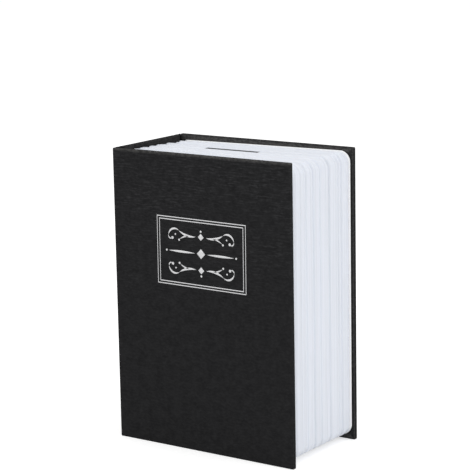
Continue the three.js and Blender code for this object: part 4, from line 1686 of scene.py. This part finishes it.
def cut_slot(shell: bpy.types.Object, middle: Pair, size: Pair, heights: Pair) -> None:
    """Cuts a slot straight through a wall of a shell.

    Args:
        shell: The object to cut.
        middle: The slot's middle in X and Y.
        size: The slot's length and width.
        heights: Where the cut starts and ends along Z.
    """
    shaper = Shaper()
    place = Matrix.Translation((*middle, sum(heights) / 2))
    stretch = Matrix.Diagonal((*size, heights[1] - heights[0], 1))
    bmesh.ops.create_cube(shaper.bm, size=1.0, matrix=place @ stretch)
    carve(shell, shaper)
    soften_rim(shell.data, middle, size)
    shell.data.set_sharp_from_angle(angle=math.radians(SHADE_DEGREES))


def soften_rim(mesh: bpy.types.Mesh, middle: Pair, size: Pair) -> None:
    """Rounds the two rims of an upright slot and marks its walls for the painted shade inside the slot.

    Args:
        mesh: The finished mesh, in metres.
        middle: The slot's middle in X and Y, in millimetres.
        size: The slot's length and width.
    """
    shaper = Shaper()
    shaper.bm.from_mesh(mesh)

    def on_wall(point: Vector) -> bool:
        """Tells whether a point lies on one of the slot's four walls.

        Args:
            point: The point, in metres.

        Returns:
            Whether it does.
        """
        past = [abs(point[i] / MM - middle[i]) - size[i] / 2 for i in range(2)]
        return max(past) < SLOT_EPS and min(abs(away) for away in past) < SLOT_EPS

    rim = [
        e for e in shaper.edges_where(lambda a, b: on_wall(a) and on_wall(b))
        if e.is_manifold and e.calc_face_angle() > math.radians(SHADE_DEGREES)
        and abs(e.verts[0].co.z - e.verts[1].co.z) < STEEP_SHARE * e.calc_length()
    ]
    shaper.soften(rim, SLOT_ROUND * MM, SLOT_ROUND_SEGMENTS)
    # Marks the slot's walls for the near-black painted shade inside the slot
    layer = shaper.bm.verts.layers.float.new(WEAR_AND_LIGHT_LAYER)
    for vert in shaper.bm.verts:
        vert[layer] = float(on_wall(vert.co))
    shaper.bm.to_mesh(mesh)
    shaper.bm.free()


@dataclass
class SoftenedNode:
    """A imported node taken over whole, with its edges rounded and its facets smoothed.

    Attributes:
        node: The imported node.
        finish: The piece's finish.
        body: The body that it rides on.
        slot: Its material slot.
        edge: How wide its edges are rounded.
        segments: How many flat strips the rounding has.
        sharper_than: How many degrees an edge turns at least to be rounded.
        flatter_than: How many degrees two faces turn at most to be made one.
        merged_within: How near together two corners lie to be made one.
    """

    node: str
    finish: Finish
    body: Body
    slot: Slot
    edge: float
    segments: int = 2
    sharper_than: float = 40.0
    flatter_than: float = 0.5
    merged_within: float = 1e-3

    def build(self) -> None:
        """Builds the piece from a merged copy of the node's mesh."""
        shaper = Shaper()
        shaper.bm.from_mesh(frame["nodes"][self.node].data)
        bmesh.ops.scale(shaper.bm, vec=(1 / MM, 1 / MM, 1 / MM), verts=shaper.bm.verts[:])
        bmesh.ops.remove_doubles(shaper.bm, verts=shaper.bm.verts[:], dist=self.merged_within)
        bmesh.ops.dissolve_limit(
            shaper.bm, angle_limit=math.radians(self.flatter_than),
            verts=shaper.bm.verts[:], edges=shaper.bm.edges[:],
        )
        shaper.soften(shaper.sharp_edges(self.sharper_than), self.edge, self.segments)
        Piece(f"{self.node}_finished", self.finish, self.body, self.slot, (self.node,)).make(shaper)


@dataclass
class InnerSafe:
    """The steel tray, its door, hinge and lock, which show once the cover is open.

    Each size is how wide the rounding of that part's edges is.
    """

    sheet: float = 0.08
    stamping: float = 0.18
    turned: float = 0.12
    nut: float = 0.25
    tray_rivet: float = 0.1
    hinge_rivet: float = 0.06
    wafer: float = 0.06
    tray: float = 0.2
    door: float = 0.22
    barrel: float = 0.22

    def build(self) -> None:
        """Builds every piece of the tray, the door and the lock."""
        for part in self.parts():
            part.build()

    def parts(self) -> list[SoftenedNode]:
        """Lists the pieces of the tray, the door and the lock.

        Returns:
            The pieces, in the order in which they are built.
        """
        zinc = [
            ("strike_bracket", Body.CASE, self.stamping),
            ("hinge_tray_leaf", Body.CASE, self.sheet),
            ("hinge_pin", Body.CASE, self.turned),
            ("hinge_door_leaf", Body.DOOR, self.sheet),
            ("lock_washer", Body.DOOR, self.sheet),
            ("lock_nut", Body.DOOR, self.nut),
            ("lock_cam", Body.PLUG, self.stamping),
            ("cam_screw", Body.PLUG, self.turned),
        ]
        zinc += [(f"tray_rivet_{i}", Body.CASE, self.tray_rivet) for i in NUMBERS]
        zinc += [(f"hinge_rivet_{i}", Body.DOOR, self.hinge_rivet) for i in NUMBERS]
        brass = [("lock_plug", self.turned), *((f"lock_wafer_{i}", self.wafer) for i in NUMBERS)]
        return [
            *(SoftenedNode(node, ZINC, body, Slot.ZINC, edge) for node, body, edge in zinc),
            SoftenedNode("steel_tray", PAINT, Body.CASE, Slot.PAINT, self.tray, segments=3),
            SoftenedNode("steel_door", PAINT, Body.DOOR, Slot.PAINT, self.door, segments=3),
            SoftenedNode("lock_barrel", CHROME, Body.DOOR, Slot.CHROME, self.barrel, segments=3),
            *(SoftenedNode(node, BRASS, Body.PLUG, Slot.BRASS, edge) for node, edge in brass),
        ]


@dataclass(frozen=True)
class Lamp:
    """A square soft lamp: its name, its place and side in metres, and its power in watts."""

    name: str
    place: Triple
    side: float
    watts: float


@dataclass
class Studio:
    """A plain white studio: floor, world, soft lamps and the camera.

    Attributes:
        floor_radius: The floor's radius, in metres.
        floor_sides: How many sides it has.
        floor_colour: Its colour.
        floor_roughness: Its roughness.
        floor_glow: How brightly it glows, to the camera and in reflections alone.
        world_light: How brightly the world lights the safe.
        lamps: The lamps.
        lit_middle: Where they point, in metres.
        eye: Where the camera stands, in metres.
        azimuth: How many degrees to the right of straight on it looks from.
        elevation: How many degrees above level it looks from.
        roll: How many degrees it is rolled.
        lens: Its focal length, in millimetres.
        sensor: Its sensor's width, in millimetres.
    """

    floor_radius: float = 8.0
    floor_sides: int = 64
    floor_colour: Triple = (0.86, 0.86, 0.86)
    floor_roughness: float = 0.9
    floor_glow: float = 0.5
    world_light: float = 0.58
    lamps: tuple[Lamp, ...] = (
        Lamp("left_softbox", (-0.7, -1.0, 0.9), 1.0, 5.5),
        Lamp("right_softbox", (1.1, 0.1, 0.7), 0.9, 5.0),
        Lamp("top_softbox", (0.1, 0.2, 1.3), 1.0, 2.5),
    )
    lit_middle: Triple = (0.0, 0.0, 0.05)
    eye: Triple = (0.403573, -0.57269, 0.218898)
    azimuth: float = 35.1653
    elevation: float = 11.1394
    roll: float = -1.0575
    lens: float = 142.228
    sensor: float = 36.0

    def build(self) -> None:
        """Builds the studio round the safe."""
        self.build_floor()
        self.build_world()
        self.build_lamps()
        self.build_camera()
        bpy.context.scene.view_settings.view_transform = "Standard"

    def build_floor(self) -> None:
        """Builds a wide round floor that reads as white and keeps the safe's shadow."""
        shape = bmesh.new()
        bmesh.ops.create_circle(shape, cap_ends=True, radius=self.floor_radius, segments=self.floor_sides)
        mesh = bpy.data.meshes.new("floor")
        shape.to_mesh(mesh)
        shape.free()
        graph = Graph("white_floor")
        graph.set(Base_Color=self.floor_colour, Roughness=self.floor_roughness, Specular_IOR_Level=0.0)
        glow = graph.node("Emission", {"Color": (1, 1, 1, 1), "Strength": self.floor_glow})
        path = graph.node("LightPath", {})
        seen = graph.math("MAXIMUM", path.outputs["Is Camera Ray"], path.outputs["Is Glossy Ray"])
        lit = graph.node("AddShader", {0: graph.shader.outputs[0], 1: glow.outputs[0]})
        mixed = graph.node("MixShader", {0: seen, 1: graph.shader.outputs[0], 2: lit.outputs[0]})
        graph.tree.links.new(mixed.outputs[0], graph.tree.nodes["Material Output"].inputs["Surface"])
        mesh.materials.append(graph.material)
        floor = bpy.data.objects.new("floor", mesh)
        bpy.context.scene.collection.objects.link(floor)

    def build_world(self) -> None:
        """Builds an even world that is pure white to the camera."""
        world = bpy.data.worlds.new("white_studio")
        bpy.context.scene.world = world
        world.use_nodes = True
        tree = world.node_tree
        back = tree.nodes["Background"]
        back.inputs["Color"].default_value = (1, 1, 1, 1)
        path = tree.nodes.new("ShaderNodeLightPath")
        seen = tree.nodes.new("ShaderNodeMath")
        seen.operation = "MAXIMUM"
        tree.links.new(path.outputs["Is Camera Ray"], seen.inputs[0])
        tree.links.new(path.outputs["Is Glossy Ray"], seen.inputs[1])
        level = tree.nodes.new("ShaderNodeMapRange")
        level.inputs[3].default_value = self.world_light
        level.inputs[4].default_value = 1.0
        tree.links.new(seen.outputs[0], level.inputs[0])
        tree.links.new(level.outputs[0], back.inputs["Strength"])

    def build_lamps(self) -> None:
        """Hangs a large soft lamp on the left, one on the right and one overhead."""
        for lamp in self.lamps:
            light = bpy.data.lights.new(lamp.name, "AREA")
            light.size, light.energy = lamp.side, lamp.watts
            hung = bpy.data.objects.new(lamp.name, light)
            hung.location = lamp.place
            aim = Vector(self.lit_middle) - Vector(lamp.place)
            hung.rotation_euler = aim.to_track_quat("-Z", "Y").to_euler()
            bpy.context.scene.collection.objects.link(hung)

    def build_camera(self) -> None:
        """Sets the camera at the photograph's viewing angle."""
        az, el, roll = (math.radians(a) for a in (self.azimuth, self.elevation, self.roll))
        back = Vector((math.sin(az) * math.cos(el), -math.cos(az) * math.cos(el), math.sin(el)))
        right = Vector((math.cos(az), math.sin(az), 0))
        up = back.cross(right)
        across = right * math.cos(roll) + up * math.sin(roll)
        upright = -right * math.sin(roll) + up * math.cos(roll)
        data = bpy.data.cameras.new("camera")
        data.lens, data.sensor_width = self.lens, self.sensor
        camera = bpy.data.objects.new("camera", data)
        turn = Matrix((across, upright, back)).transposed().to_4x4()
        camera.matrix_world = Matrix.Translation(self.eye) @ turn
        bpy.context.scene.collection.objects.link(camera)
        bpy.context.scene.camera = camera


def cover_panels() -> list[CoverPanel]:
    """Gives the front cover, the back cover and the spine.

    Returns:
        The three panels, each in its place.
    """
    front_low, front_high = node_box("front_cover_cloth")
    _, back_high = node_box("back_cover_cloth")
    spine_low, spine_high = node_box("spine_cloth")
    width = front_high.x - front_low.x
    height = front_high.z - front_low.z
    front_place = Matrix.Translation((front_low.x, front_low.y, 0))
    back_place = Matrix.Translation((back_high.x, back_high.y, 0)) @ Matrix.Rotation(math.pi, 4, "Z")
    spine_place = Matrix.Translation((spine_low.x, spine_high.y, 0)) @ Matrix.Rotation(-math.pi / 2, 4, "Z")
    front_nodes = ("front_cover_cloth", "front_board", "front_lining")
    back_nodes = ("back_cover_cloth", "back_board", "back_lining")
    spine_nodes = ("spine_cloth", "spine_board", "spine_lining")
    thickness = spine_high.y - spine_low.y
    return [
        CoverPanel(
            "front", front_nodes, Body.FRONT_COVER, front_place, width, Side.EDGE, Side.FOLDED, height,
            side_rub=0.0, head_rub=1.8,
        ),
        CoverPanel("back", back_nodes, Body.CASE, back_place, width, Side.FOLDED, Side.EDGE, height),
        CoverPanel("spine", spine_nodes, Body.CASE, spine_place, thickness, Side.EDGE, Side.EDGE, height),
    ]


def main() -> None:
    """Builds the studio and every piece, in order."""
    logging.basicConfig(level=logging.INFO, format="%(message)s")
    Studio().build()
    for panel in cover_panels():
        panel.build()
    ClothJoint("front_joint_cloth_strip", "front_joint_cloth", True).build()
    ClothJoint("back_joint_cloth_strip", "back_joint_cloth", False).build()
    TitlePanel().build()
    PageBlock().build()
    RearPlate().build()
    InnerSafe().build()


if __name__ == "__main__":
    main()
